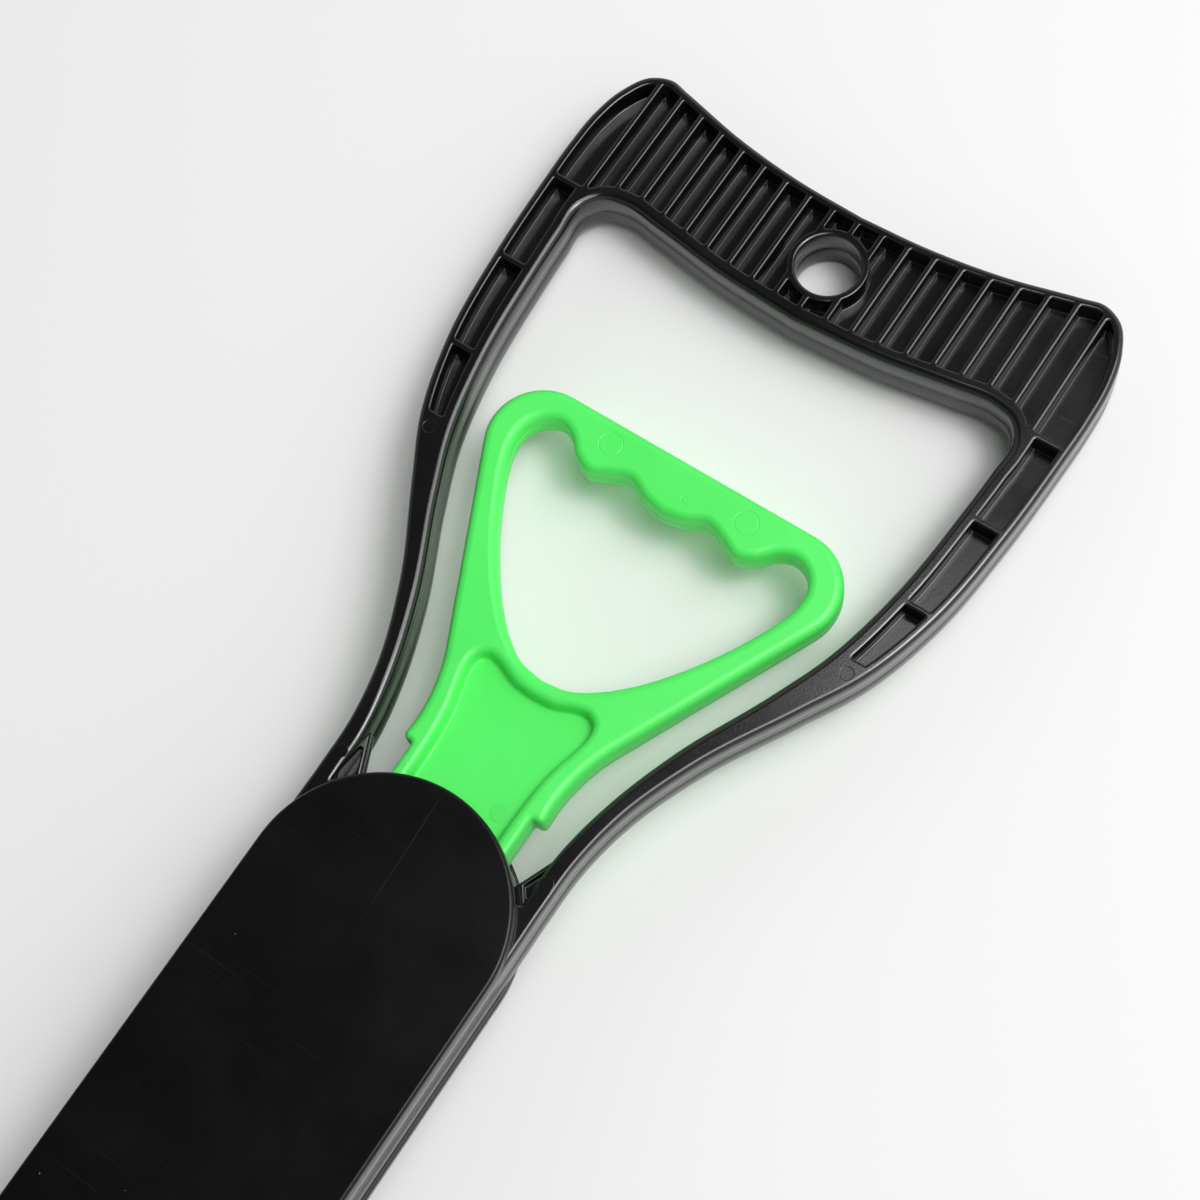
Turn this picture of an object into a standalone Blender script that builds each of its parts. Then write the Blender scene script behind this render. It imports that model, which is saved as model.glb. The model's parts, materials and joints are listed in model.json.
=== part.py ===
"""Long-handled leaf grabber with two geared, scoop-like hands.

The tool is modelled in its own coordinates, in millimetres: X across, +Y towards the D-grip,
+Z out of the front cover, with z = 0 in the mid-plane of the handle frame.  The empty
"lying_tool" then lays it on its back, so that the grip and the lowest fingertips touch z = 0.
Pulling the green handle up by TRAVEL moves a double rack, which turns both gear sectors and
closes the hands.  Right is +X.
"""
from math import acos, atan2, cos, hypot, pi, radians, sin, tan

import bmesh
import bpy
from mathutils import Matrix, Vector

# ---------------------------------------------------------------- driving dimensions, mm
MM = 0.001
GAP = 0.3                   # between pieces that touch on the real tool

FRAME_HALF = 7.0            # half the depth of the handle frame
WEB_HALF = 1.2              # half the web in the mid-plane of the grip
GRIP_OUTER = [(0, 247.2), (20, 248.2), (40, 251.0), (60, 255.8), (65.5, 257.0), (71.5, 254.6),
              (76.0, 247.5), (78.4, 238), (79, 227), (78.7, 214), (77.4, 190), (73.9, 162.5),
              (66.8, 140), (58.5, 125), (44.5, 100), (36.8, 80), (33.9, 65), (33.4, 50)]
GRIP_INNER = [(0, 212.5), (25, 214.2), (45, 217.2), (55.5, 218.4), (61.5, 216.8), (65, 212),
              (64.8, 203), (64, 190), (61.2, 162.5), (56, 140), (49.8, 125), (38, 100),
              (31.3, 80), (29, 68.5), (28.3, 64)]
OUTER_RIM = 2.6
INNER_RIM = 4.0
RIB_PITCH = 7.5
RIB_THICKNESS = 1.5
RIB_COUNT_HALF = 9          # ribs on each side of the middle one
ARM_RIBS_Y = (216.5, 189.5, 162.2)
ARM_POCKET_END_Y = 143.0
HANG_HOLE = (0.0, 230.5)
HANG_HOLE_R = 8.65
HANG_RING_R = 10.6
CROTCH_POCKET = [(28.0, 61.5), (29.1, 50.5), (25.2, 55.6)]

END_CENTRE_Y = 29.15        # centre of the covers' round end
BODY_HALF = 33.9
RAIL_INSET = 0.4            # the frame stands this much inside the covers
RAIL_THICKNESS = 3.2
COVER_OUT = 10.8            # outer face of a cover, from the mid-plane
COVER_WALL = 1.8
STRUT_FOOT_X = 23.4

FLARE_TOP_Y = -285.0
FLARE_END_Y = -360.0
HEAD_HALF = 72.0
FRAME_END_Y = -376.0
BAY_WALL_Y = (-350.0, -355.5)
NOSE_Y = -472.0
HEAD_DROP = 42.0            # how far the covers reach below the pivots

PIVOT_X, PIVOT_Y = 44.0, -400.0
GEAR_MODULE = 3.0
GEAR_TEETH = 24             # of a full wheel
PITCH_R = GEAR_MODULE * GEAR_TEETH / 2
TRAVEL = 40.0
SWING = TRAVEL / PITCH_R    # radians
PRESSURE_ANGLE = radians(20)
BACKLASH = 0.5
SECTOR_HALF = 3.5
RACK_HALF = 5.0
RACK_GAP = 11.9             # half the opening in the bay wall for the rack

STEM_HALF = 18.0
HANDLE_HALF = 5.0
HANDLE_WEB_HALF = 1.4
STEM_END_Y = -12.0
MOUTH_BLOCK_Y = 32.0
CROSS_MEMBERS_Y = (-57.0, -187.0, -252.0)
CROSS_MEMBER_DEPTH = 6.0
ROD_R = 4.0
ROD_TOP_Y, ROD_END_Y = 8.5, -333.0
LOWER_PIN_Y = ROD_END_Y + 7
PIN_R, PIN_HOLE_R = 1.4, 1.8
COLLAR_Y, COLLAR_HALF, COLLAR_R = -153.0, 3.0, 6.8

SCREW_ROWS_Y = (22.0, -85.0, -215.0, -300.0)
BOSS_R = 4.4
BOSS_TOP = 1.0
FRONT_POST_R = 3.1
SCREW_R = 1.5
HOLE_R = 1.9

NECK_HALF_WIDTH = 13.0
NECK_START = 25.0
CHEEK_IN, CHEEK_OUT = 3.8, 6.8
HUB_R = 16.0
SECTOR_TAIL_R = 24.3
SECTOR_SCREW_R = 18.0       # from the pivot
SECTOR_SCREW_SPREAD = radians(24)
BOLT_R = 4.0
SOCKET_R = 3.0              # of the bolt head's hexagon socket, to its corners
NUT_R, NUT_HEIGHT = 7.5, 4.0
BUSH_OUT, BUSH_IN = 6.0, 4.4

# a hand, closed, from its pivot: centre line in X and Y, and how far it spreads in Z
HAND_LINE = [(8.6, -23.5), (17, -46), (27, -80), (32, -115), (27, -152), (12, -185),
             (-12, -210), (-42, -226)]
NECK_DIRECTION = atan2(-23.5, 8.6)
PALM_HALF = 60.0
TIP_HALF = 62.0
FINGERS = 5
FINGER_HALF = 10.0
FINGERTIP_HALF = 5.5

COLOURS = {
    "black_plastic": ((0.012, 0.012, 0.013), 0.42, 0.0),
    "cover_plastic": ((0.009, 0.009, 0.010), 0.38, 0.0),
    "green_plastic": ((0.10, 0.86, 0.16), 0.40, 0.0),
    "gear_plastic": ((0.62, 0.62, 0.58), 0.45, 0.0),
    "steel": ((0.55, 0.55, 0.56), 0.30, 1.0),
    "rubber": ((0.03, 0.03, 0.03), 0.80, 0.0),
}


# ---------------------------------------------------------------- scene helpers
def clear_scene():
    for item in list(bpy.data.objects):
        bpy.data.objects.remove(item, do_unlink=True)


def material_for(name, kind):
    colour, roughness, metallic = COLOURS[kind]
    item = bpy.data.materials.new(name + "_" + kind)
    item.use_nodes = True
    shader = item.node_tree.nodes["Principled BSDF"]
    shader.inputs["Base Color"].default_value = (*colour, 1.0)
    shader.inputs["Roughness"].default_value = roughness
    shader.inputs["Metallic"].default_value = metallic
    item.diffuse_color = (*colour, 1.0)
    return item


def add_piece(name, bm, kind, origin=(0, 0, 0), smooth=False):
    """Make a named object from a bmesh in millimetres, with its own origin and material."""
    bm.transform(Matrix.Translation(-Vector(origin)))
    bm.transform(Matrix.Scale(MM, 4))
    bmesh.ops.recalc_face_normals(bm, faces=bm.faces)
    mesh = bpy.data.meshes.new(name)
    bm.to_mesh(mesh)
    bm.free()
    mesh.materials.append(material_for(name, kind))
    if smooth:
        mesh.shade_smooth()
        mesh.set_sharp_from_angle(angle=radians(35))
    piece = bpy.data.objects.new(name, mesh)
    piece.location = Vector(origin) * MM
    bpy.context.collection.objects.link(piece)
    return piece


# ---------------------------------------------------------------- outline helpers
def smooth_path(points, step=9.0):
    """A smooth curve through the points, sampled about every step mm."""
    knots = [Vector(p) for p in points]
    spans = [(b - a).length for a, b in zip(knots, knots[1:])]
    slopes = []
    for i in range(len(knots)):
        if i == 0:
            slopes.append((knots[1] - knots[0]) / spans[0])
        elif i == len(knots) - 1:
            slopes.append((knots[-1] - knots[-2]) / spans[-1])
        else:
            before = (knots[i] - knots[i - 1]) / spans[i - 1]
            after = (knots[i + 1] - knots[i]) / spans[i]
            slopes.append((before * spans[i] + after * spans[i - 1]) / (spans[i] + spans[i - 1]))
    path = []
    for i, span in enumerate(spans):
        count = max(2, round(span / step))
        for k in range(count):
            t = k / count
            path.append(knots[i] * (2 * t**3 - 3 * t**2 + 1) + slopes[i] * span * (t**3 - 2 * t**2 + t)
                        + knots[i + 1] * (3 * t**2 - 2 * t**3) + slopes[i + 1] * span * (t**3 - t**2))
    path.append(knots[-1])
    return [tuple(p) for p in path]


def rounded_outline(corners, steps=6):
    """A polygon whose corners (x, y, radius) are replaced by arcs."""
    points = []
    for i, (x, y, radius) in enumerate(corners):
        corner = Vector((x, y))
        before = (Vector(corners[i - 1][:2]) - corner).normalized()
        after = (Vector(corners[(i + 1) % len(corners)][:2]) - corner).normalized()
        if radius <= 0:
            points.append((x, y))
            continue
        half = acos(max(-1.0, min(1.0, before.dot(after)))) / 2
        reach = radius / tan(half)
        start, end = corner + before * reach, corner + after * reach
        centre = corner + (before + after).normalized() * (radius / sin(half))
        a, b = start - centre, end - centre
        turn = atan2(a.x * b.y - a.y * b.x, a.dot(b))
        for k in range(steps + 1):
            spin = Matrix.Rotation(turn * k / steps, 2)
            points.append(tuple(centre + spin @ a))
    return points


def mirrored(half):
    """Close a half outline that starts and may end on x = 0 with its mirror image."""
    other = [(-x, y) for x, y in reversed(half) if abs(x) > 1e-6]
    return list(half) + other


def arc(cx, cy, rx, ry, start, end, steps):
    return [(cx + rx * cos(start + (end - start) * k / steps),
             cy + ry * sin(start + (end - start) * k / steps)) for k in range(steps + 1)]


def shifted(path, distance):
    """Move an open path sideways, to the right of its direction of travel."""
    moved = []
    for i, (x, y) in enumerate(path):
        x0, y0 = path[max(i - 1, 0)]
        x1, y1 = path[min(i + 1, len(path) - 1)]
        length = hypot(x1 - x0, y1 - y0)
        moved.append((x + (y1 - y0) / length * distance, y - (x1 - x0) / length * distance))
    return moved


def value_at(path, key, axis):
    """The other coordinate where an open path crosses key along the given axis."""
    other = 1 - axis
    for a, b in zip(path, path[1:]):
        low, high = sorted((a[axis], b[axis]))
        if low <= key <= high and high > low:
            t = (key - a[axis]) / (b[axis] - a[axis])
            return a[other] + (b[other] - a[other]) * t
    return path[-1][other]


# ---------------------------------------------------------------- solid helpers
def prism(loops, low, high):
    """A closed solid: one outer loop and any holes, filled and extruded along Z."""
    bm = bmesh.new()
    edges = []
    for loop in loops:
        ring = [bm.verts.new((x, y, low)) for x, y in loop]
        edges += [bm.edges.new((ring[i - 1], ring[i])) for i in range(len(ring))]
    bmesh.ops.triangle_fill(bm, use_beauty=True, use_dissolve=False, edges=edges)
    made = bmesh.ops.extrude_face_region(bm, geom=bm.faces[:])
    top = [v for v in made["geom"] if isinstance(v, bmesh.types.BMVert)]
    bmesh.ops.translate(bm, verts=top, vec=(0, 0, high - low))
    bmesh.ops.recalc_face_normals(bm, faces=bm.faces)
    return bm


def cylinder(radius, centre, low, high, axis="Z", sides=24, top_radius=None):
    """A round bar from low to high along axis, through centre (the other two coordinates)."""
    bm = bmesh.new()
    far = radius if top_radius is None else top_radius
    bmesh.ops.create_cone(bm, cap_ends=True, segments=sides, radius1=radius, radius2=far,
                          depth=high - low)
    bm.transform(Matrix.Translation((0, 0, (low + high) / 2)))
    if axis == "Y":
        bm.transform(Matrix.Rotation(-pi / 2, 4, "X"))
        bm.transform(Matrix.Translation((centre[0], 0, centre[1])))
    else:
        bm.transform(Matrix.Translation((centre[0], centre[1], 0)))
    return bm


def ring_points(centre, radius, sides):
    return [(centre[0] + radius * cos(2 * pi * k / sides), centre[1] + radius * sin(2 * pi * k / sides))
            for k in range(sides)]


def tube(outer, inner, centre, low, high, sides=24):
    return prism([ring_points(centre, radius, sides) for radius in (outer, inner)], low, high)


def block(x0, x1, y0, y1, z0, z1):
    return prism([[(x0, y0), (x1, y0), (x1, y1), (x0, y1)]], z0, z1)


def join(parts):
    """Put separate solids in one bmesh, for use as a Boolean operand."""
    whole = bmesh.new()
    for part in parts:
        scratch = bpy.data.meshes.new("scratch")
        part.to_mesh(scratch)
        part.free()
        whole.from_mesh(scratch)
        bpy.data.meshes.remove(scratch)
    return whole


def boolean(base, tool, operation):
    """The exact union, difference or intersection of two bmeshes, as a new bmesh."""
    objects = []
    for label, bm in (("base", base), ("tool", tool)):
        bmesh.ops.recalc_face_normals(bm, faces=bm.faces)
        mesh = bpy.data.meshes.new(label)
        bm.to_mesh(mesh)
        bm.free()
        item = bpy.data.objects.new(label, mesh)
        bpy.context.collection.objects.link(item)
        objects.append(item)
    modifier = objects[0].modifiers.new("cut", "BOOLEAN")
    modifier.operation = operation
    modifier.solver = "EXACT"
    modifier.object = objects[1]
    graph = bpy.context.evaluated_depsgraph_get()
    result = bmesh.new()
    result.from_object(objects[0], graph)
    for item in objects:
        mesh = item.data
        bpy.data.objects.remove(item, do_unlink=True)
        bpy.data.meshes.remove(mesh)
    bmesh.ops.remove_doubles(result, verts=result.verts, dist=0.002)
    bmesh.ops.dissolve_degenerate(result, edges=result.edges, dist=0.002)
    return result


def cut(base, *tools):
    return boolean(base, join(tools), "DIFFERENCE")


def unite(base, *tools):
    for tool in tools:
        base = boolean(base, tool, "UNION")
    return base


# ---------------------------------------------------------------- shared outlines
def half_width(y):
    """Half the width of the covers at y, above the pivots."""
    t = max(0.0, min(1.0, (FLARE_TOP_Y - y) / (FLARE_TOP_Y - FLARE_END_Y)))
    return BODY_HALF + (HEAD_HALF - BODY_HALF) * t * t * (3 - 2 * t)


def flare(inset, from_y, to_y, step=12.0):
    """The right edge of the flared shoulder, going down."""
    count = max(1, round((from_y - to_y) / step))
    ys = [from_y + (to_y - from_y) * k / count for k in range(count + 1)]
    return [(half_width(y) - inset, y) for y in ys]


def cover_outline(inset=0.0):
    """A cover's outline: round end, straight body, flared shoulders and a gear head."""
    radius = BODY_HALF - inset
    half = arc(0, END_CENTRE_Y, radius, radius, pi / 2, 0, 10)
    half += flare(inset, FLARE_TOP_Y, FLARE_END_Y)
    half += arc(PIVOT_X, PIVOT_Y, HEAD_HALF - PIVOT_X - inset, HEAD_DROP - inset,
                0, -radians(100), 8)
    nose = [half[-1], (29 - inset, -447.5 + inset / 2), (21 - inset, -459 + inset / 2),
            (13.5 - inset, NOSE_Y + 2.5 + inset), (0, NOSE_Y + inset)]
    return mirrored(half + smooth_path(nose)[1:])


def boss_x(y):
    return half_width(y) - RAIL_INSET - RAIL_THICKNESS - 3.4


# ---------------------------------------------------------------- the handle frame
def grip_pockets(outer, inner):
    """Outlines of the open cells between the ribs of the grip and the arms, x >= 0 and mirrored."""
    top = shifted(outer, OUTER_RIM)
    low = shifted(inner, -INNER_RIM)
    arm_top, arm_low = (path[path.index(max(path, key=lambda p: p[1])):] for path in (top, low))
    half_rib = RIB_THICKNESS / 2
    cells = []
    for i in range(RIB_COUNT_HALF):
        x0, x1 = i * RIB_PITCH + half_rib, (i + 1) * RIB_PITCH - half_rib
        cells.append([(x0, value_at(low, x0, 0)), (x1, value_at(low, x1, 0)),
                      (x1, value_at(top, x1, 0)), (x0, value_at(top, x0, 0))])
    last_x = RIB_COUNT_HALF * RIB_PITCH + half_rib
    first_y = ARM_RIBS_Y[0] + half_rib
    edge = [p for p in top if p[0] > last_x and p[1] > first_y]
    cells.append([(last_x, first_y), (last_x, value_at(top, last_x, 0))] + edge
                 + [(value_at(arm_top, first_y, 1), first_y)])
    ends = list(ARM_RIBS_Y[1:]) + [ARM_POCKET_END_Y - half_rib]
    for high_y, low_y in zip(ARM_RIBS_Y, ends):
        ys = [high_y - half_rib + (low_y - high_y + RIB_THICKNESS) * k / 4 for k in range(5)]
        outside = [(value_at(arm_top, y, 1), y) for y in ys]
        inside = [(value_at(arm_low, y, 1), y) for y in ys]
        cells.append(outside + inside[::-1])
    cells.append(CROTCH_POCKET)
    return cells + [[(-x, y) for x, y in cell] for cell in cells]


def make_handle_frame():
    outer = smooth_path(GRIP_OUTER)
    inner = smooth_path(GRIP_INNER)
    side = outer + flare(RAIL_INSET, END_CENTRE_Y, END_CENTRE_Y - 1)[:1]
    side += flare(RAIL_INSET, FLARE_TOP_Y, FRAME_END_Y, 11)
    foot_x = half_width(FRAME_END_Y) - RAIL_INSET - RAIL_THICKNESS
    side += [(foot_x, FRAME_END_Y), (foot_x, BAY_WALL_Y[1])]

    end_r = BODY_HALF - RAIL_INSET
    foot_angle = acos(STRUT_FOOT_X / end_r)
    mouth = arc(0, END_CENTRE_Y, end_r, end_r, foot_angle, pi - foot_angle, 14)
    opening = inner + mouth + [(-x, y) for x, y in reversed(inner[1:])]

    wall = RAIL_INSET + RAIL_THICKNESS
    loops = [mirrored(side), opening]
    edges = [MOUTH_BLOCK_Y]
    for y in CROSS_MEMBERS_Y:
        edges += [y, y - CROSS_MEMBER_DEPTH]
    edges.append(BAY_WALL_Y[0])
    for top_y, low_y in zip(edges[0::2], edges[1::2]):
        right = flare(wall, top_y, low_y, 400 if low_y > FLARE_TOP_Y else 12)
        loops.append(right + [(-x, y) for x, y in reversed(right)])
    frame = prism(loops, -FRAME_HALF, FRAME_HALF)

    deep = FRAME_HALF + 1
    pockets = []
    for cell in grip_pockets(outer, inner):
        pockets.append(prism([cell], WEB_HALF, deep))
        pockets.append(prism([cell], -deep, -WEB_HALF))
    frame = cut(frame, *pockets)

    frame = unite(frame, cylinder(HANG_RING_R, HANG_HOLE, -FRAME_HALF, FRAME_HALF, sides=32))
    for y in SCREW_ROWS_Y:
        for sign in (-1, 1):
            boss = cylinder(BOSS_R, (sign * boss_x(y), y), -FRAME_HALF, BOSS_TOP, sides=10)
            frame = unite(frame, boss)
    holes = [cylinder(HANG_HOLE_R, HANG_HOLE, -deep, deep, sides=32)]
    holes += [cylinder(HOLE_R, (sign * boss_x(y), y), -deep, deep, sides=8)
              for y in SCREW_ROWS_Y for sign in (-1, 1)]
    holes.append(block(-STEM_HALF - 0.7, STEM_HALF + 0.7, MOUTH_BLOCK_Y - 1, END_CENTRE_Y + end_r + 2,
                       -HANDLE_HALF - 0.6, HANDLE_HALF + 0.6))
    holes.append(cylinder(ROD_R + 0.7, (0, 0), CROSS_MEMBERS_Y[-1] - CROSS_MEMBER_DEPTH - 2,
                          CROSS_MEMBERS_Y[0] + 2, axis="Y", sides=20))
    holes.append(block(-RACK_GAP, RACK_GAP, BAY_WALL_Y[1] - 2, BAY_WALL_Y[0] + 2,
                       -RACK_HALF - 1.1, RACK_HALF + 1.1))
    return add_piece("handle_frame", cut(frame, *holes), "black_plastic")


# ---------------------------------------------------------------- covers and their screws
def make_cover(name, front):
    """A tray with its open side towards the frame, and posts or bosses for the screws."""
    rim, inside = FRAME_HALF + GAP, COVER_OUT - COVER_WALL
    cover = prism([cover_outline()], rim, COVER_OUT)
    cover = cut(cover, prism([cover_outline(COVER_WALL)], rim - 1, inside))
    post_end = BOSS_TOP + GAP if front else rim
    spots = [(sign * boss_x(y), y) for y in SCREW_ROWS_Y for sign in (-1, 1)]
    if not front:
        spots.append((0, NOSE_Y + 9))
    post_r = FRONT_POST_R if front else BOSS_R - 0.3
    for spot in spots:
        cover = unite(cover, cylinder(post_r, spot, post_end, inside + 0.5, sides=10))
    holes = [cylinder(BOLT_R + 0.4, (sign * PIVOT_X, PIVOT_Y), rim - 1, COVER_OUT + 1, sides=20)
             for sign in (-1, 1)]
    hole_top = inside - 0.4 if front else COVER_OUT + 1
    holes += [cylinder(HOLE_R, spot, post_end - 1, hole_top, sides=8) for spot in spots]
    cover = cut(cover, *holes)
    if not front:
        cover = cut(cover, *[cylinder(3.4, spot, inside - 0.2, COVER_OUT + 1, sides=12)
                             for spot in spots])
        cover.transform(Matrix.Scale(-1, 4, (0, 0, 1)))
        bmesh.ops.reverse_faces(cover, faces=cover.faces)
    return add_piece(name, cover, "cover_plastic")


def make_screw(name, spot, head_z, tip_z, head_r=3.0, shank_r=SCREW_R, head_height=1.5):
    """A slotted pan-head screw along Z; its head is at head_z and its tip at tip_z."""
    x, y = spot
    way = 1 if tip_z > head_z else -1
    low, high = sorted((head_z, head_z + way * head_height))
    tip_low, tip_high = sorted((head_z + way * head_height / 2, tip_z))
    head = cylinder(head_r, spot, low, high, sides=12)
    screw = unite(head, cylinder(shank_r, spot, tip_low, tip_high, sides=8))
    face = head_z + way * head_height / 2
    slot_low, slot_high = sorted((head_z - way, face))
    arm, width = head_r * 0.6, head_r * 0.16
    screw = cut(screw, block(x - arm, x + arm, y - width, y + width, slot_low, slot_high))
    return add_piece(name, screw, "steel", origin=(x, y, head_z), smooth=True)


def make_cover_screws():
    screws = []
    for row, y in enumerate(SCREW_ROWS_Y):
        for side, sign in (("left", -1), ("right", 1)):
            name = "cover_screw_" + side + "_" + str(row + 1)
            screws.append(make_screw(name, (sign * boss_x(y), y), -COVER_OUT + 0.3, 7.8))
    screws.append(make_screw("stop_screw", (0, NOSE_Y + 9), -COVER_OUT + 0.3, 4.0))
    return screws


def make_rack_stop():
    """The block between the covers at the nose, and the rubber pad that the rack rests on."""
    y0, y1 = NOSE_Y + 4, NOSE_Y + 14
    top = COVER_OUT - COVER_WALL - GAP
    stop = prism([rounded_outline([(-10, y0, 2), (10, y0, 2), (10, y1, 2), (-10, y1, 2)], 3)],
                 -FRAME_HALF, top)
    stop = cut(stop, cylinder(HOLE_R, (0, NOSE_Y + 9), -FRAME_HALF - 1, 6.0, sides=12))
    pad = rounded_outline([(-7, y1 + GAP, 1), (7, y1 + GAP, 1), (7, y1 + 4.2, 1), (-7, y1 + 4.2, 1)], 3)
    return [add_piece("rack_stop", stop, "black_plastic"),
            add_piece("rack_bumper", prism([pad], -RACK_HALF, RACK_HALF), "rubber")]


# ---------------------------------------------------------------- the sliding group
def handle_outline():
    side_slope = 0.478
    corner_x = 50.25 + side_slope * (166.25 - 145.0)
    waist_y = 145.0 - (50.25 - 21.0) / side_slope
    half = [(corner_x, 166.25, 15), (21, waist_y, 48.5), (21, 68.6, 1.4), (STEM_HALF, 68.6, 0.8),
            (STEM_HALF, STEM_END_Y, 1.5)]
    other = [(-x, y, r) for x, y, r in reversed(half)]
    return rounded_outline(half + other, 8)


FINGER_HOLE = [(0, 151.0), (5.5, 152.2), (11.8, 154.8), (17.5, 152.9), (22.2, 151.0),
               (27, 153.0), (31, 157.0), (35, 158.6), (39.5, 157), (42.4, 152.8), (42.6, 148),
               (40.8, 142), (37.5, 135), (33, 127), (27.5, 118.8), (20.5, 110.3), (13.5, 104),
               (7, 100.2), (0, 99.0)]
STEM_POCKET = [(0, 94.3), (6, 95.0), (11, 97.0), (14.4, 97.7), (17.2, 96.2), (17.9, 93),
               (17, 88), (15.4, 82), (14.4, 75), (14, 68), (14, 40)]


def make_pull_handle():
    handle = prism([handle_outline(), mirrored(smooth_path(FINGER_HOLE, 3.5))],
                   -HANDLE_HALF, HANDLE_HALF)
    pocket = mirrored(smooth_path(STEM_POCKET, 4) + [(14, 14)])
    handle = cut(handle, prism([pocket], HANDLE_WEB_HALF, HANDLE_HALF + 1),
                 prism([pocket], -HANDLE_HALF - 1, -HANDLE_WEB_HALF))
    handle = cut(handle, cylinder(ROD_R + GAP, (0, 0), STEM_END_Y - 1, ROD_TOP_Y + 0.5, axis="Y", sides=20))
    handle = cut(handle, cylinder(PIN_HOLE_R, (0, 0), -9, 9, sides=12))
    return add_piece("pull_handle", handle, "green_plastic")


def make_rod_group():
    """The rod from the handle to the rack, its cross pins and the collar that the spring bears on."""
    rod = cylinder(ROD_R, (0, 0), ROD_END_Y, ROD_TOP_Y, axis="Y", sides=20)
    rod = cut(rod, *[cylinder(PIN_HOLE_R, (0, y), -9, 9, sides=12)
                     for y in (0, LOWER_PIN_Y, COLLAR_Y)])
    collar = cylinder(COLLAR_R, (0, 0), COLLAR_Y - COLLAR_HALF, COLLAR_Y + COLLAR_HALF, axis="Y")
    collar = cut(collar, cylinder(ROD_R + GAP, (0, 0), COLLAR_Y - 5, COLLAR_Y + 5, axis="Y", sides=20))
    collar = cut(collar, cylinder(PIN_HOLE_R, (0, COLLAR_Y), -9, 9, sides=12))
    pieces = [add_piece("pull_rod", rod, "steel", smooth=True),
              add_piece("spring_collar", collar, "black_plastic", smooth=True)]
    for name, y, half in (("rod_pin_upper", 0, 5.0), ("rod_pin_lower", LOWER_PIN_Y, 5.4),
                          ("collar_pin", COLLAR_Y, 6.6)):
        pin = cylinder(PIN_R, (0, y), -half, half, sides=12)
        pieces.append(add_piece(name, pin, "steel", origin=(0, y, 0), smooth=True))
    return pieces


def make_return_spring():
    """A compression spring on the rod, from the first cross member to the collar."""
    coil_r, wire_r, turns, per_turn, sides = 5.6, 0.65, 9, 10, 5
    high = CROSS_MEMBERS_Y[0] - CROSS_MEMBER_DEPTH - wire_r - GAP
    low = COLLAR_Y + COLLAR_HALF + wire_r + GAP
    bm = bmesh.new()
    rings = []
    count = turns * per_turn
    for k in range(count + 1):
        angle = 2 * pi * k / per_turn
        y = high + (low - high) * k / count
        out = Vector((cos(angle), 0, sin(angle)))
        ring = []
        for j in range(sides):
            turn = 2 * pi * j / sides
            spot = out * (coil_r + wire_r * cos(turn)) + Vector((0, y + wire_r * sin(turn), 0))
            ring.append(bm.verts.new(spot))
        rings.append(ring)
    for a, b in zip(rings, rings[1:]):
        for j in range(sides):
            bm.faces.new((a[j - 1], a[j], b[j], b[j - 1]))
    bm.faces.new(rings[0])
    bm.faces.new(rings[-1][::-1])
    return add_piece("return_spring", bm, "steel", smooth=True)


def make_rack():
    """The double rack: a socket for the rod, a plain bar and seven teeth on each side."""
    pitch = pi * GEAR_MODULE
    pitch_x = PIVOT_X - PITCH_R
    root_x, tip_x = pitch_x - 1.25 * GEAR_MODULE, pitch_x + GEAR_MODULE
    half_tooth = pitch / 4 - BACKLASH / 2

    def flank(x):
        return half_tooth - (x - pitch_x) * tan(PRESSURE_ANGLE)

    half = [(9.0, -317.0), (9.0, -341.0), (6.5, -344.0), (6.5, -385.5), (root_x, -386.5)]
    for k in range(1, -6, -1):
        y = PIVOT_Y + k * pitch
        half += [(root_x, y + flank(root_x)), (tip_x, y + flank(tip_x)),
                 (tip_x, y - flank(tip_x)), (root_x, y - flank(root_x))]
    half.append((root_x, -453.5))
    outline = half + [(-x, y) for x, y in reversed(half)]
    rack = prism([outline], -RACK_HALF, RACK_HALF)
    rack = unite(rack, cylinder(RACK_HALF + 0.9, (0, 0), -341, -317, axis="Y", sides=24))
    rack = cut(rack, cylinder(ROD_R + GAP, (0, 0), ROD_END_Y - 0.5, -310, axis="Y", sides=20))
    rack = cut(rack, cylinder(PIN_HOLE_R, (0, LOWER_PIN_Y), -9, 9, sides=12))
    return add_piece("rack", rack, "gear_plastic")


# ---------------------------------------------------------------- the hands
def tooth_points(centre):
    """One involute tooth of the sector, as (angle, radius) with rising angle."""
    base_r = PITCH_R * cos(PRESSURE_ANGLE)
    root_r, tip_r = PITCH_R - 1.25 * GEAR_MODULE, PITCH_R + GEAR_MODULE
    at_pitch = (pi * GEAR_MODULE / 2 - BACKLASH / 2) / (2 * PITCH_R)

    def half_angle(radius):
        slope = acos(min(1.0, base_r / radius))
        return at_pitch + tan(PRESSURE_ANGLE) - PRESSURE_ANGLE - (tan(slope) - slope)

    radii = [root_r] + [base_r + (tip_r - base_r) * k / 4 for k in range(5)]
    rising = [(centre - half_angle(max(r, base_r)), r) for r in radii]
    falling = [(centre + half_angle(max(r, base_r)), r) for r in reversed(radii)]
    return rising + falling


def polar_outline(points, centre):
    return [(centre[0] + r * cos(a), centre[1] + r * sin(a)) for a, r in points]


def screw_spots(rest_direction, centre):
    return [(centre[0] + SECTOR_SCREW_R * cos(rest_direction + way * SECTOR_SCREW_SPREAD),
             centre[1] + SECTOR_SCREW_R * sin(rest_direction + way * SECTOR_SCREW_SPREAD))
            for way in (-1, 1)]


def flip_x(bm):
    bm.transform(Matrix.Scale(-1, 4, (1, 0, 0)))
    bmesh.ops.reverse_faces(bm, faces=bm.faces)
    return bm


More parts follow.
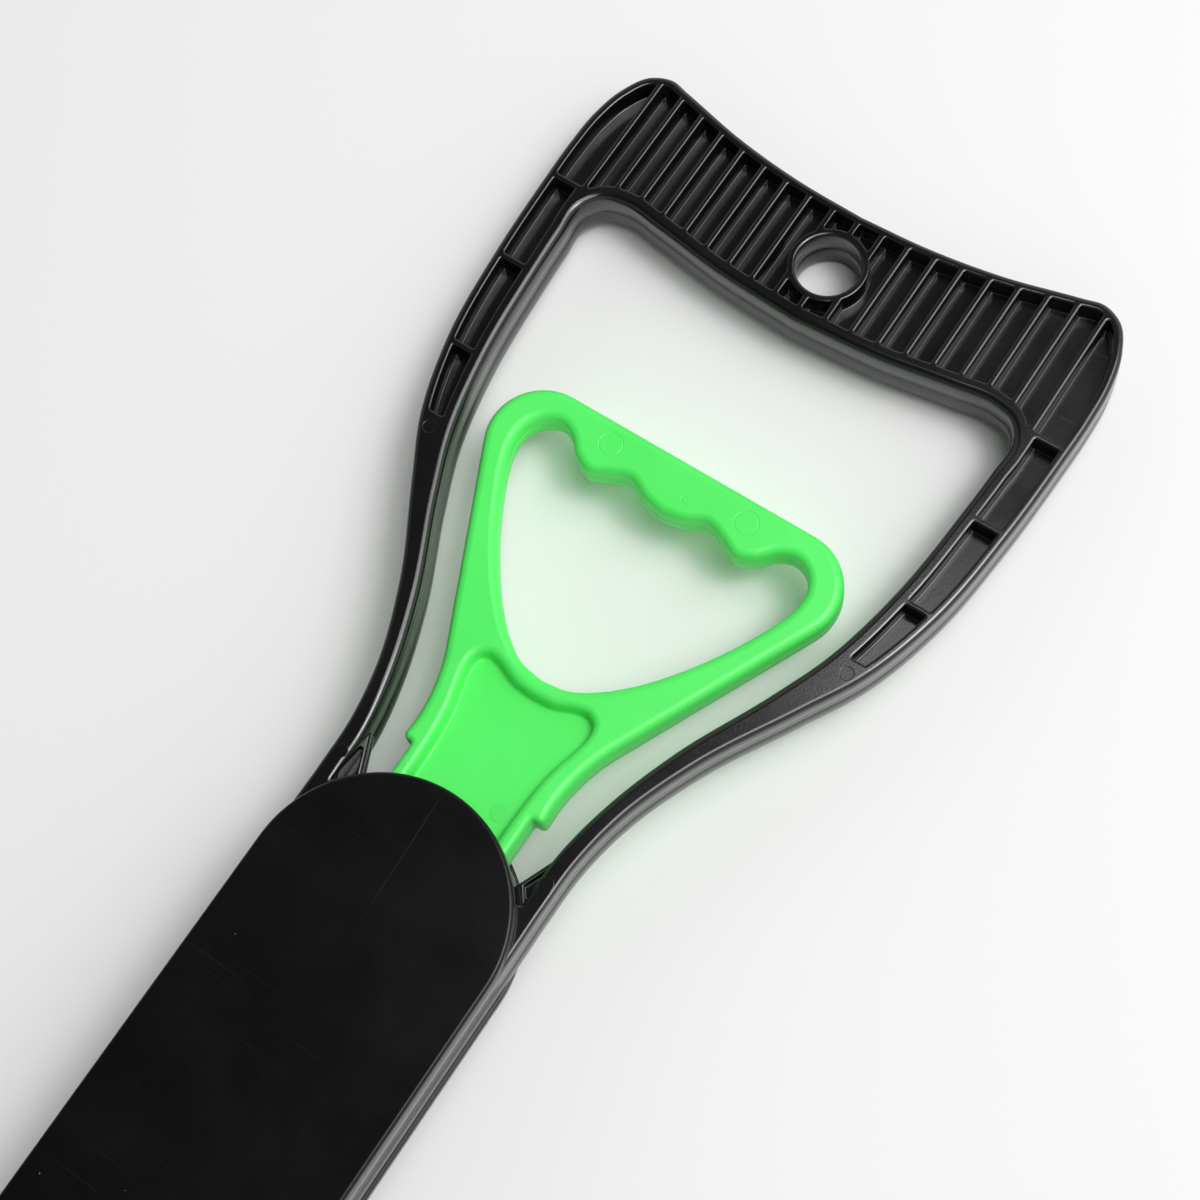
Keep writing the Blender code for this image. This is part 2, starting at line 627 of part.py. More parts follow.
def sector_solid(direction):
    """The right gear sector: eight teeth towards the rack, a hub and a tail in the neck."""
    centre = (PIVOT_X, PIVOT_Y)
    step = 2 * pi / GEAR_TEETH
    points = []
    for k in range(8):
        points += tooth_points(pi - 1.5 * step + k * step)
    root_r = PITCH_R - 1.25 * GEAR_MODULE
    points.append((radians(269.5), root_r))
    tail = radians(24)
    to_tail = direction + 2 * pi - tail
    points += [(radians(273) + (to_tail - radians(276)) * k / 3, 15.0) for k in range(4)]
    points += [(to_tail + 2 * tail * k / 5, SECTOR_TAIL_R) for k in range(6)]
    after = direction + 2 * pi + tail + radians(3)
    points += [(after + (radians(508) - after) * k / 7, 15.0) for k in range(8)]
    points.append((radians(510.5), root_r))
    sector = prism([polar_outline(points, centre)], -SECTOR_HALF, SECTOR_HALF)
    holes = [cylinder(BUSH_OUT + GAP, centre, -9, 9, sides=24)]
    holes += [cylinder(1.6, spot, -9, 9, sides=12) for spot in screw_spots(direction, centre)]
    return cut(sector, *holes)


def thick_sheet(front, back, quads):
    """A closed solid from two grids of points and the grid cells that are filled."""
    bm = bmesh.new()
    verts = {}
    for side, grid in (("front", front), ("back", back)):
        for key, spot in grid.items():
            verts[side, key] = bm.verts.new(spot)
    borders = {}
    for corners in quads:
        bm.faces.new([verts["front", c] for c in corners])
        bm.faces.new([verts["back", c] for c in reversed(corners)])
        for a, b in zip(corners, corners[1:] + corners[:1]):
            if (b, a) in borders:
                del borders[b, a]
            else:
                borders[a, b] = True
    for a, b in borders:
        bm.faces.new([verts["front", b], verts["front", a], verts["back", a], verts["back", b]])
    loose = [v for v in bm.verts if not v.link_faces]
    bmesh.ops.delete(bm, geom=loose, context="VERTS")
    return bm


def ease(value, start, end):
    t = max(0.0, min(1.0, (value - start) / (end - start)))
    return t * t * (3 - 2 * t)


def hand_solid():
    """The right hand from its pivot, closed: neck, cupped palm and tapering, ridged fingers."""
    line = smooth_path(HAND_LINE, 15.0)
    run = [0.0]
    for a, b in zip(line, line[1:]):
        run.append(run[-1] + hypot(b[0] - a[0], b[1] - a[1]))
    total = run[-1]
    knuckle = next(i for i, s in enumerate(run) if s > 0.46 * total)
    columns = 3 * FINGERS
    front, back, quads = {}, {}, []
    for i, (x, y) in enumerate(line):
        before, after = line[max(i - 1, 0)], line[min(i + 1, len(line) - 1)]
        length = hypot(after[0] - before[0], after[1] - before[1])
        inward = Vector(((after[1] - before[1]) / length, -(after[0] - before[0]) / length, 0))
        reach = hypot(x, y)
        spread = ease(reach, 42, 112)
        depth = 2 * NECK_HALF_WIDTH + (4.4 - 2 * NECK_HALF_WIDTH) * ease(reach, 26, 105)
        along = max(0.0, (run[i] - run[knuckle]) / (total - run[knuckle]))
        depth -= 1.4 * along
        cup = 9.0 * spread * sin(pi * min(1.0, run[i] / total))
        for j in range(columns):
            finger, part = divmod(j, 3)
            rank = finger - (FINGERS - 1) / 2
            half = FINGER_HALF + (FINGERTIP_HALF - FINGER_HALF) * along
            root_z = rank * (PALM_HALF - FINGER_HALF) / 2
            tip_z = rank * TIP_HALF / 2
            open_z = root_z + (tip_z - root_z) * along + (part - 1) * half
            z = open_z * (CHEEK_OUT / PALM_HALF + (1 - CHEEK_OUT / PALM_HALF) * spread)
            middle = Vector((x, y, z)) + inward * cup * (z / PALM_HALF) ** 2
            ridge = 1.6 * spread if part == 1 else 0.0
            front[i, j] = middle + inward * depth / 2
            back[i, j] = middle - inward * (depth / 2 + ridge)
    for i in range(len(line) - 1):
        for j in range(columns - 1):
            if i < knuckle or j % 3 != 2:
                quads.append([(i, j), (i, j + 1), (i + 1, j + 1), (i + 1, j)])
    return thick_sheet(front, back, quads)


def cheek_outline():
    """A fork cheek, around the pivot at (0, 0): the hub's circle and the start of the neck."""
    end = NECK_START + 3
    lean = atan2(NECK_HALF_WIDTH, end)
    meet = pi / 2 - acos(NECK_HALF_WIDTH / HUB_R)
    edge = [(end / cos(lean), lean), (HUB_R, meet)]
    round_part = [(HUB_R, meet + (2 * pi - 2 * meet) * k / 18) for k in range(19)]
    points = [(edge[0][1], edge[0][0])] + [(a, r) for r, a in round_part]
    points.append((2 * pi - lean, edge[0][0]))
    return [(r * cos(a + NECK_DIRECTION), r * sin(a + NECK_DIRECTION)) for a, r in points]


def make_hand_side(side):
    """Hand, gear sector, bush, sector screws, washers, pivot bolt and nut of one side."""
    sign = 1 if side == "right" else -1
    centre = (PIVOT_X, PIVOT_Y)
    rest_direction = NECK_DIRECTION + SWING
    place = Matrix.Translation((PIVOT_X, PIVOT_Y, 0)) @ Matrix.Rotation(SWING, 4, "Z")

    hand = unite(hand_solid(), prism([cheek_outline()], CHEEK_IN, CHEEK_OUT),
                 prism([cheek_outline()], -CHEEK_OUT, -CHEEK_IN))
    hand.transform(place)
    spots = screw_spots(rest_direction, centre)
    holes = [cylinder(BUSH_OUT + GAP, centre, -9, 9, sides=24)]
    holes += [cylinder(1.6, spot, -5.9, 9, sides=12) for spot in spots]
    hand = cut(hand, *holes)

    solids = [("hand_" + side, hand, "green_plastic"),
              ("gear_sector_" + side, sector_solid(rest_direction), "gear_plastic"),
              ("pivot_bush_" + side, tube(BUSH_OUT, BUSH_IN, centre, -CHEEK_OUT, CHEEK_OUT), "steel")]
    for face, low, high in (("front", 7.15, 8.65), ("rear", -8.65, -7.15)):
        washer = tube(9.5, BUSH_IN, centre, low, high)
        solids.append(("thrust_washer_" + side + "_" + face, washer, "steel"))
    bolt = unite(cylinder(7.2, centre, COVER_OUT + GAP, COVER_OUT + 2.4, sides=24, top_radius=6.4),
                 cylinder(BOLT_R, centre, -COVER_OUT - 3.8, COVER_OUT + 1, sides=20))
    bolt = cut(bolt, prism([ring_points(centre, SOCKET_R, 6)], COVER_OUT + 1.0, COVER_OUT + 4))
    nut = prism([ring_points(centre, NUT_R, 6), ring_points(centre, BOLT_R + 0.25, 20)],
                -COVER_OUT - GAP - NUT_HEIGHT, -COVER_OUT - GAP)
    solids += [("pivot_bolt_" + side, bolt, "steel"), ("pivot_nut_" + side, nut, "steel")]

    pieces = []
    for name, solid, kind in solids:
        if sign < 0:
            flip_x(solid)
        pieces.append(add_piece(name, solid, kind, origin=(sign * PIVOT_X, PIVOT_Y, 0),
                                smooth=kind in ("steel", "green_plastic")))
    for number, (x, y) in enumerate(spots):
        name = "sector_screw_" + side + "_" + str(number + 1)
        pieces.append(make_screw(name, (sign * x, y), 8.5, -5.4, head_r=2.6, shank_r=1.3, head_height=1.3))
    return pieces


# ---------------------------------------------------------------- lay the tool down
def lie_down(pieces):
    """Parent all pieces to one empty, tilted so that the grip and the hands touch the floor."""
    grip_y, grip_z = GRIP_OUTER[4][1] * MM, -FRAME_HALF * MM
    bpy.context.view_layer.update()
    spots = [piece.matrix_world @ v.co for piece in pieces for v in piece.data.vertices]
    tilt = max(atan2(grip_z - p.z, grip_y - p.y) for p in spots if p.y < PIVOT_Y * MM)
    turn = Matrix.Rotation(-tilt, 4, "X")
    turned = [turn @ p for p in spots]
    low_y, high_y = min(p.y for p in turned), max(p.y for p in turned)
    holder = bpy.data.objects.new("lying_tool", None)
    bpy.context.collection.objects.link(holder)
    holder.rotation_euler = (-tilt, 0, 0)
    holder.location = (0, -(low_y + high_y) / 2, -min(p.z for p in turned))
    for piece in pieces:
        piece.parent = holder
    bpy.context.view_layer.update()


def main():
    clear_scene()
    pieces = [make_handle_frame(), make_cover("front_cover", True), make_cover("rear_cover", False)]
    pieces += make_cover_screws()
    pieces += make_rack_stop()
    pieces.append(make_pull_handle())
    pieces += make_rod_group()
    pieces += [make_return_spring(), make_rack()]
    for side in ("left", "right"):
        pieces += make_hand_side(side)
    lie_down(pieces)


main()
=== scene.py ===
"""The visual model of the long-handled leaf grabber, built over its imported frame.

Shapes are drawn in the tool's own coordinates, in millimetres: X across, +Y towards the D-grip,
+Z out of the front cover, with z = 0 in the mid-plane of the handle frame.  TOOL takes them to
the row frame.  Most pieces are lofts: outlines stacked from a flat face round a moulded edge and
down a drafted wall, closed by flat fills.
"""

import json
from math import acos, atan2, cos, dist, hypot, pi, radians, sin, sqrt, tan

import bmesh
import bpy
from mathutils import Matrix, Vector


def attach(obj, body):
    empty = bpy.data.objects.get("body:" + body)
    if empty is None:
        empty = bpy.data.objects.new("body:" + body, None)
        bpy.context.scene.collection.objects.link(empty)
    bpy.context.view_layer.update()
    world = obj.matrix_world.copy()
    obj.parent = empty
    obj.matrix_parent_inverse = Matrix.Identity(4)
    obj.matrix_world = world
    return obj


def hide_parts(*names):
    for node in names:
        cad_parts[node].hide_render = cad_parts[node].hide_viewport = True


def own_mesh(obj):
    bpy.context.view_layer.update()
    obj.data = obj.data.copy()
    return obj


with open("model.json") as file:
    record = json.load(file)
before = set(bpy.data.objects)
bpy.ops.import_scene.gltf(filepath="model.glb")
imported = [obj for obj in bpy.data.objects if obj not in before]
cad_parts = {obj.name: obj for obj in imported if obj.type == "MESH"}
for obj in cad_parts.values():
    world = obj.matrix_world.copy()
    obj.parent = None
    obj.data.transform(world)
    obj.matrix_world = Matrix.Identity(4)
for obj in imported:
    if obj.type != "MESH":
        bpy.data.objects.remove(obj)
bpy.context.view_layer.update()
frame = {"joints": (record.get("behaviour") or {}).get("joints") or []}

# ---------------------------------------------------------------- driving dimensions, mm
MM = 0.001
FRAME_HALF = 7.0            # half the depth of the handle frame
WEB_HALF = 1.2              # half the web in the mid-plane of the grip
GRIP_OUTER = [(0, 247.2), (20, 248.2), (40, 251.0), (60, 255.8), (65.5, 257.0), (71.5, 254.6),
              (76.0, 247.5), (78.4, 238), (79, 227), (78.7, 214), (77.4, 190), (73.9, 162.5),
              (66.8, 140), (58.5, 125), (44.5, 100), (36.8, 80), (33.9, 65), (33.4, 50)]
GRIP_INNER = [(0, 212.5), (25, 214.2), (45, 217.2), (55.5, 218.4), (61.5, 216.8), (65, 212),
              (64.8, 203), (64, 190), (61.2, 162.5), (56, 140), (49.8, 125), (38, 100),
              (31.3, 80), (29, 68.5), (28.3, 62), (28.2, 54)]
OUTER_RIM = 2.6
INNER_RIM = 4.0
RIB_PITCH = 7.5
RIB_THICKNESS = 1.5
RIB_COUNT_HALF = 9          # ribs on each side of the middle one
ARM_RIBS_Y = (216.5, 189.5, 162.2)
ARM_POCKET_END_Y = 143.0
HANG_HOLE = (0.0, 230.5)
HANG_HOLE_R = 8.65
HANG_RING_R = 10.6
STRUT = [(30.0, 68.8), (23.3, 53.0), (30.0, 44.8)]     # web that braces each arm to the body
STRUT_POCKET = [(28.6, 62.6), (25.1, 54.4), (28.6, 50.1)]
STRUT_TOP = 2.8             # from the mid-plane
EJECTOR_PAD, EJECTOR_PAD_R = (30.6, 57.2), 1.8
ARM_MARK, ARM_MARK_R = (62.5, 139.0), 1.8
ARM_CORNER_Y = 209.0        # where the arm's inner side starts to turn into the grip

END_CENTRE_Y = 29.15        # centre of the covers' round end
BODY_HALF = 33.9
RAIL_INSET = 0.4            # the frame stands this much inside the covers
RAIL_THICKNESS = 3.2
COVER_IN = 7.3              # edge of a cover towards the frame, from the mid-plane
COVER_OUT = 10.8            # outer face of a cover
COVER_WALL = 1.8
COVER_TOP_Y = 62.0          # just short of the covers' upper ends
COVER_SCRATCH = ((-2.0, 62.5), (-0.5, 25.0))
ARM_FOOT_X = 28.2           # inner side of an arm where it meets the body's round end
FLARE_TOP_Y, FLARE_END_Y = -285.0, -360.0
HEAD_HALF = 72.0
FRAME_END_Y = -376.0
BAY_WALL_Y = (-350.0, -355.5)
NOSE_Y = -472.0
HEAD_DROP = 42.0            # how far the covers' round lobes reach below the pivots
SLOT_HALF = 18.7            # of the mouth that the pull handle's stem slides in
SLOT_DEEP = 5.6
MOUTH_BLOCK_Y = 32.0
CROSS_MEMBERS_Y = (-57.0, -187.0, -252.0)
CROSS_MEMBER_DEPTH = 6.0
ROD_GAP = 4.7               # half the opening for the rod
RACK_GAP = 11.9             # half the opening for the rack

PIVOT_X, PIVOT_Y = 44.0, -400.0
GEAR_MODULE = 3.0
GEAR_TEETH = 24             # of a full wheel
PITCH_R = GEAR_MODULE * GEAR_TEETH / 2
TRAVEL = 40.0
SWING = TRAVEL / PITCH_R    # radians
PRESSURE_ANGLE = radians(20)
BACKLASH = 0.5
SECTOR_HALF = 3.5
RACK_HALF = 5.0

RACK_SOCKET_Y = (-317.0, -341.0)
RACK_SOCKET_HALF = 9.0
RACK_BAR_HALF = 6.5
RACK_BAR_END_Y = -385.5
RACK_END_Y = -453.5

STEM_HALF = 18.0
SHOULDER_HALF, SHOULDER_Y = 21.0, 68.6
HANDLE_TOP_Y = 166.25
HANDLE_SIDE = (50.25, 145.0)        # a point on the straight outer side
HANDLE_SIDE_SLOPE = 0.478           # millimetres out for each millimetre up
HANDLE_HALF = 5.0
HANDLE_WEB_HALF = 1.0
STEM_END_Y = -12.0
ROD_R = 4.0
ROD_END_Y = -333.0
COLLAR_Y, COLLAR_HALF = -153.0, 3.0
SCREW_ROWS_Y = (22.0, -85.0, -215.0, -300.0)
STOP_SCREW = (0, NOSE_Y + 9)
SCREW_FACE = -COVER_OUT + 0.3       # the heads sit sunk in the rear cover
COVER_SCREW = (3.0, 1.5, 1.5)       # head radius, shank radius and head height
SECTOR_SCREW = (2.6, 1.3, 1.3)
COUNTERBORE_R, COUNTERBORE_DEEP = 3.4, 1.6
BOSS_R = 4.4
BOSS_INSET = 3.4            # from a rail's inner face to the screw's axis
HOLE_R = 1.9

NECK_HALF_WIDTH = 13.0
NECK_START = 25.0
CHEEK_IN, CHEEK_OUT = 3.8, 6.8
HUB_R = 16.0
SECTOR_SCREW_R = 18.0       # from the pivot
SECTOR_SCREW_SPREAD = radians(24)
BUSH_OUT, BUSH_IN = 6.0, 4.4
WASHER_IN, WASHER_OUT = 7.15, 8.65  # its faces, from the mid-plane

# a hand, closed, from its pivot: centre line in X and Y, and how far it spreads in Z
HAND_LINE = [(8.6, -23.5), (17, -46), (27, -80), (32, -115), (27, -152), (12, -185),
             (-12, -210), (-42, -226)]
NECK_DIRECTION = atan2(-23.5, 8.6)
HAND_CUP = 9.0              # how far the hand's side edges curl inwards
PALM_THICKNESS = 4.4
TIP_THINNER = 1.4           # how much thinner the fingertips are than the palm
FINGER_RIDGE = 1.5
KNUCKLE_SHARE = 0.47        # how far down the hand's line the fingers part
PALM_HALF = 59.8
TIP_HALF = 61.8
FINGERS = 5
FINGER_HALF = 10.0
FINGERTIP_HALF = 5.5

SUPPORT = 0.06              # width of the ring that keeps a flat face flat beside a round edge
CLOSE = 1e-4
SHARP = radians(50)         # edges that turn more than this are shaded sharp

# the camera, in the tool's coordinates
CAMERA_PLACE = (147.2, 0.0, 507.0)
CAMERA_FORWARD = (-0.27249, 0.22980, -0.93432)
CAMERA_RIGHT = (0.82371, 0.55756, -0.10310)
LENS_MM, SENSOR_MM = 65.2, 36.0
# the light, in the row frame: places and sizes in metres, powers in watts
SKY = ((0.0, 0.60), (0.42, 0.82), (0.60, 0.82), (0.82, 0.07))
SKY_SIDE = (0.65, 0.76, 0.0)
SKY_DIM = 0.35
KEY_PLACE = (0.68, 0.80, 1.75)
KEY_SIZE = (1.6, 1.5)
KEY_POWER = 28.0
SPARK_PLACE = (0.80, 0.80, 1.70)
SPARK_SIZE = (0.5, 0.5)
SPARK_POWER = 7.5


def tool_matrix():
    """The matrix from tool millimetres to the row frame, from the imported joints."""
    joints = {joint["name"]: joint for joint in frame["joints"]}
    out = Vector(joints["right_hand_swing"]["axis"])
    along = Vector(joints["pull_slide"]["axis"])
    across = along.cross(out)
    origin = Vector(joints["right_hand_swing"]["pos_m"]) - (across * PIVOT_X + along * PIVOT_Y) * MM
    turn = Matrix((across, along, out)).transposed().to_4x4()
    return Matrix.Translation(origin) @ turn @ Matrix.Scale(MM, 4)


TOOL = tool_matrix()


# ---------------------------------------------------------------- outline helpers
def evenly(start, end, steps):
    """Evenly spaced values, with both ends."""
    return [start + (end - start) * k / steps for k in range(steps + 1)]


def between(a, b, share):
    """The point at a share of the way from a to b."""
    return a[0] + (b[0] - a[0]) * share, a[1] + (b[1] - a[1]) * share


def smooth_path(points, step=1.4):
    """A smooth curve through the points, sampled about every step mm."""
    knots = [Vector(p) for p in points]
    spans = [(b - a).length for a, b in zip(knots, knots[1:])]
    chords = [(b - a) / span for a, b, span in zip(knots, knots[1:], spans)]
    slopes = [(before * after_span + after * before_span) / (after_span + before_span)
              for before, after, before_span, after_span in zip(chords, chords[1:], spans, spans[1:])]
    slopes = [chords[0]] + slopes + [chords[-1]]
    path = []
    for i, span in enumerate(spans):
        for t in evenly(0, 1, max(2, round(span / step)))[:-1]:
            path.append(knots[i] * (2 * t**3 - 3 * t**2 + 1) + slopes[i] * span * (t**3 - 2 * t**2 + t)
                        + knots[i + 1] * (3 * t**2 - 2 * t**3) + slopes[i + 1] * span * (t**3 - t**2))
    path.append(knots[-1])
    return [tuple(p) for p in path]


def arc(cx, cy, radius, start, end, steps):
    return [(cx + radius * cos(a), cy + radius * sin(a)) for a in evenly(start, end, steps)]


def circle(centre, radius, sides=40):
    return arc(*centre, radius, 0, 2 * pi, sides)[:-1]


def mirrored(half):
    """Close a half outline that starts and may end on x = 0 with its mirror image."""
    return list(half) + [(-x, y) for x, y in reversed(half) if abs(x) > 1e-6]


def other_side(loop):
    return [(-x, y) for x, y in loop]


def shifted(path, distance):
    """Move an open path sideways, to the right of its direction of travel."""
    moved = []
    for i, (x, y) in enumerate(path):
        x0, y0 = path[max(i - 1, 0)]
        x1, y1 = path[min(i + 1, len(path) - 1)]
        length = hypot(x1 - x0, y1 - y0)
        moved.append((x + (y1 - y0) / length * distance, y - (x1 - x0) / length * distance))
    return moved


def value_at(path, key, axis):
    """The other coordinate where an open path crosses key along the given axis."""
    for a, b in zip(path, path[1:]):
        low, high = sorted((a[axis], b[axis]))
        if low <= key <= high and high > low:
            t = (key - a[axis]) / (b[axis] - a[axis])
            return a[1 - axis] + (b[1 - axis] - a[1 - axis]) * t
    return path[-1][1 - axis]


def ease(value, start, end):
    t = max(0.0, min(1.0, (value - start) / (end - start)))
    return t * t * (3 - 2 * t)


def quarter(share):
    """The height of a quarter circle, from 0 at its foot to 1 at its crown."""
    share = max(0.0, min(1.0, share))
    return sqrt(max(0.0, 1 - (1 - share) ** 2))


def wound(loop, material_inside=True):
    """The loop in the direction that keeps the material on its left."""
    area = sum(a[0] * b[1] - b[0] * a[1] for a, b in zip(loop, loop[1:] + loop[:1]))
    return list(loop) if (area > 0) == material_inside else list(loop)[::-1]


def oblong(x0, x1, y0, y1):
    return [(x0, y0), (x1, y0), (x1, y1), (x0, y1)]


def round_hole(centre, radius, sides=40):
    return wound(circle(centre, radius, sides), False)


def turning(a, b, c):
    """How far a path through three points turns at the middle one, in radians."""
    first = Vector((b[0] - a[0], b[1] - a[1]))
    second = Vector((c[0] - b[0], c[1] - b[1]))
    return abs(first.angle_signed(second, 0.0))


def trimmed(path, front, back):
    """An open path without its first front mm and its last back mm, at most 45% of each."""
    spans = [dist(a, b) for a, b in zip(path, path[1:])]
    total = sum(spans)
    start, end = min(front, 0.45 * total), total - min(back, 0.45 * total)
    kept, run = [], 0.0
    for a, b, span in zip(path, path[1:], spans):
        for stop in (start, end):
            if run <= stop < run + span:
                kept.append((stop, between(a, b, (stop - run) / span)))
        run += span
        if start + 0.02 < run < end - 0.02:
            kept.append((run, b))
    return [spot for _, spot in sorted(kept)]


def softened(loop, radius, steps=4, sharp=radians(24)):
    """A closed loop whose sharp corners are replaced by round ones of about radius."""
    count = len(loop)
    turns = [turning(loop[i - 1], loop[i], loop[(i + 1) % count]) for i in range(count)]
    corners = [i for i in range(count) if turns[i] > sharp]
    if not corners:
        return list(loop)
    stretches = []
    for c, d in zip(corners, corners[1:] + [corners[0] + count]):
        path = [loop[k % count] for k in range(c, d + 1)]
        front, back = (radius * tan(turns[k % count] / 2) for k in (c, d))
        stretches.append(trimmed(path, front, back))
    smooth = []
    for k, corner in enumerate(corners[1:] + corners[:1]):
        smooth += stretches[k]
        start, end = Vector(stretches[k][-1]), Vector(stretches[(k + 1) % len(corners)][0])
        middle, weight = Vector(loop[corner]), cos(turns[corner] / 2)
        for j in range(1, steps):
            t = j / steps
            parts = ((1 - t) ** 2, 2 * weight * t * (1 - t), t * t)
            spot = (start * parts[0] + middle * parts[1] + end * parts[2]) / sum(parts)
            smooth.append(tuple(spot))
    return smooth


def inset(loop, distance):
    """Move a wound loop into the material, by one distance or by one for each point."""
    count = len(loop)
    distances = distance if isinstance(distance, list) else [distance] * count
    moved = []
    for i, (x, y) in enumerate(loop):
        before = Vector((x - loop[i - 1][0], y - loop[i - 1][1])).normalized()
        after = Vector((loop[(i + 1) % count][0] - x, loop[(i + 1) % count][1] - y)).normalized()
        both = Vector((-before.y - after.y, before.x + after.x))
        move = both * (2 * distances[i] / max(both.length_squared, 0.5))
        moved.append((x + move.x, y + move.y))
    return moved


# ---------------------------------------------------------------- lofts
def level(loop, distance, z):
    return [(x, y, z) for x, y in inset(loop, distance)]


def stepped(loop, face, steps):
    """Rings at each (inset, drop below the face)."""
    return [level(loop, distance, face - drop) for distance, drop in steps]


def round_edge(loop, face, radius, wall=0.0, steps=4, depth=1.0):
    """Rings from a flat face round its edge.  radius is a number or a function of x and y.

    The edge reaches radius * depth down the wall.
    """
    radii = [radius(x, y) for x, y in loop] if callable(radius) else [radius] * len(loop)

    def ring(turn, margin=0.0):
        edge = inset(loop, [r * (1 - sin(turn)) + wall + margin for r in radii])
        return [(x, y, face - depth * r * (1 - cos(turn))) for (x, y), r in zip(edge, radii)]

    return [ring(0, SUPPORT)] + [ring(turn) for turn in evenly(0, pi / 2, steps)]


def floor_fillet(loop, floor, radius, wall, steps=3):
    """Rings from a pocket's wall into its floor."""
    rings = [level(loop, wall - radius * (1 - cos(turn)), floor + radius * (1 - sin(turn)))
             for turn in evenly(0, pi / 2, steps)]
    return rings + [level(loop, wall - radius - SUPPORT, floor)]


def pocket(loop, face, floor, lip=0.45, draft=0.12, fillet=0.45, depth=1.0):
    """Rings of a blind pocket from a face down to its floor."""
    return round_edge(loop, face, lip, depth=depth) + floor_fillet(loop, floor, fillet, -draft)


def wall_to_seam(loop, face, radius, draft=0.12, seam=0.09):
    """Rings from a face round its edge to the mid-plane, where a fine seam runs."""
    return round_edge(loop, face, radius, draft) + [level(loop, 0.0, 0.14), level(loop, seam, 0.0)]


def half_wall(loop, half, edge, wall=0.0, steps=3):
    """Rings from a face round its edge and down a plain wall to the mid-plane."""
    return round_edge(loop, half, edge, wall, steps) + [level(loop, 0, 0)]


def twinned(rings, low, high):
    """The rings of the upper face and then their mirror images about the middle height."""
    return rings + [[(x, y, high + low - z) for x, y, z in ring] for ring in reversed(rings)]


def through(loop, low, high, edge, steps=4):
    """Rings from one face round both edges to the other face."""
    return twinned(round_edge(loop, high, edge, 0.0, steps), low, high)


def stack(bm, rings):
    """Join rings of equal length with quads.  The first and last rings come back."""
    made = [[bm.verts.new(spot) for spot in ring] for ring in rings]
    for a, b in zip(made, made[1:]):
        for i in range(len(a)):
            bm.faces.new((a[i - 1], a[i], b[i], b[i - 1]))
    return made[0], made[-1]


def fill(bm, rings):
    """Fill the flat area that the rings enclose, leaving out the holes."""
    edges = []
    for ring in rings:
        for a, b in zip(ring, ring[1:] + ring[:1]):
            edges.append(bm.edges.get((a, b)) or bm.edges.new((a, b)))
    bmesh.ops.triangle_fill(bm, use_beauty=True, use_dissolve=False, edges=edges)


def loft(walls, pockets=(), islands=(), seam=True):
    """A solid from stacks of rings that start on one flat face.

    With seam, the walls end on the mid-plane and the solid is mirrored there.  Without it they
    end on one flat far face.  Pockets end on their own floors, and islands end on the first face.
    """
    bm = bmesh.new()
    top, far = [], []
    for rings in walls:
        first, last = stack(bm, rings)
        top.append(first)
        far.append(last)
    for rings in pockets:
        first, last = stack(bm, rings)
        top.append(first)
        fill(bm, [last])
    for rings in islands:
        top += stack(bm, rings)
    fill(bm, top)
    if not seam:
        fill(bm, far)
    bmesh.ops.recalc_face_normals(bm, faces=bm.faces)
    if seam:
        copy = bmesh.ops.duplicate(bm, geom=bm.verts[:] + bm.edges[:] + bm.faces[:])["geom"]
        verts = [part for part in copy if isinstance(part, bmesh.types.BMVert)]
        bmesh.ops.scale(bm, vec=(1, 1, -1), verts=verts)
        middle = [v for v in bm.verts if abs(v.co.z) < CLOSE]
        bmesh.ops.remove_doubles(bm, verts=middle, dist=CLOSE)
        bmesh.ops.recalc_face_normals(bm, faces=bm.faces)
    return bm


def lathe(profile, centre=(0.0, 0.0), axis="Z", sides=32, closed=False):
    """Turn a profile of (radius, height) about an axis along Z or Y through centre."""
    bm = bmesh.new()
    rings = [[(x, y, height) for x, y in circle((0, 0), radius, sides)] for radius, height in profile]
    if closed:
        rings.append(rings[0])
    stack(bm, rings)
    bmesh.ops.remove_doubles(bm, verts=bm.verts, dist=CLOSE)
    bmesh.ops.recalc_face_normals(bm, faces=bm.faces)
    if axis == "Y":
        bm.transform(Matrix.Rotation(-pi / 2, 4, "X"))
    bm.transform(Matrix.Translation((*centre, 0)))
    return bm


def both_ends(half, low, high):
    """Half a profile followed by its mirror image about the middle height."""
    return half + [(radius, low + high - height) for radius, height in reversed(half)]


def bar(radius, low, high, centre=(0.0, 0.0), axis="Z", sides=32, edge=0.4):
    """A round bar with softened ends."""
    flat = radius - edge
    half = [(0, low), (flat - SUPPORT, low), (flat, low), (radius - edge * 0.3, low + edge * 0.3),
            (radius, low + edge)]
    return lathe(both_ends(half, low, high), centre, axis, sides)


def collar(outer, inner, low, high, centre=(0.0, 0.0), axis="Z", sides=36, edge=0.3):
    """A round sleeve with softened edges."""
    half = [(inner, low + edge), (inner + edge, low), (outer - edge, low), (outer, low + edge)]
    return lathe(both_ends(half, low, high), centre, axis, sides, closed=True)


def mesh_of(name, bm):
    mesh = bpy.data.meshes.new(name)
    bm.to_mesh(mesh)
    bm.free()
    return mesh


def placed(name, data):
    """A new object in the scene."""
    thing = bpy.data.objects.new(name, data)
    bpy.context.scene.collection.objects.link(thing)
    return thing


def joined(parts):
    """Several closed shells in one bmesh."""
    whole = bmesh.new()
    for part in parts:
        scratch = mesh_of("scratch", part)
        whole.from_mesh(scratch)
        bpy.data.meshes.remove(scratch)
    return whole


def flipped(bm, axis):
    bm.transform(Matrix.Scale(-1, 4, axis))
    bmesh.ops.reverse_faces(bm, faces=bm.faces)
    return bm


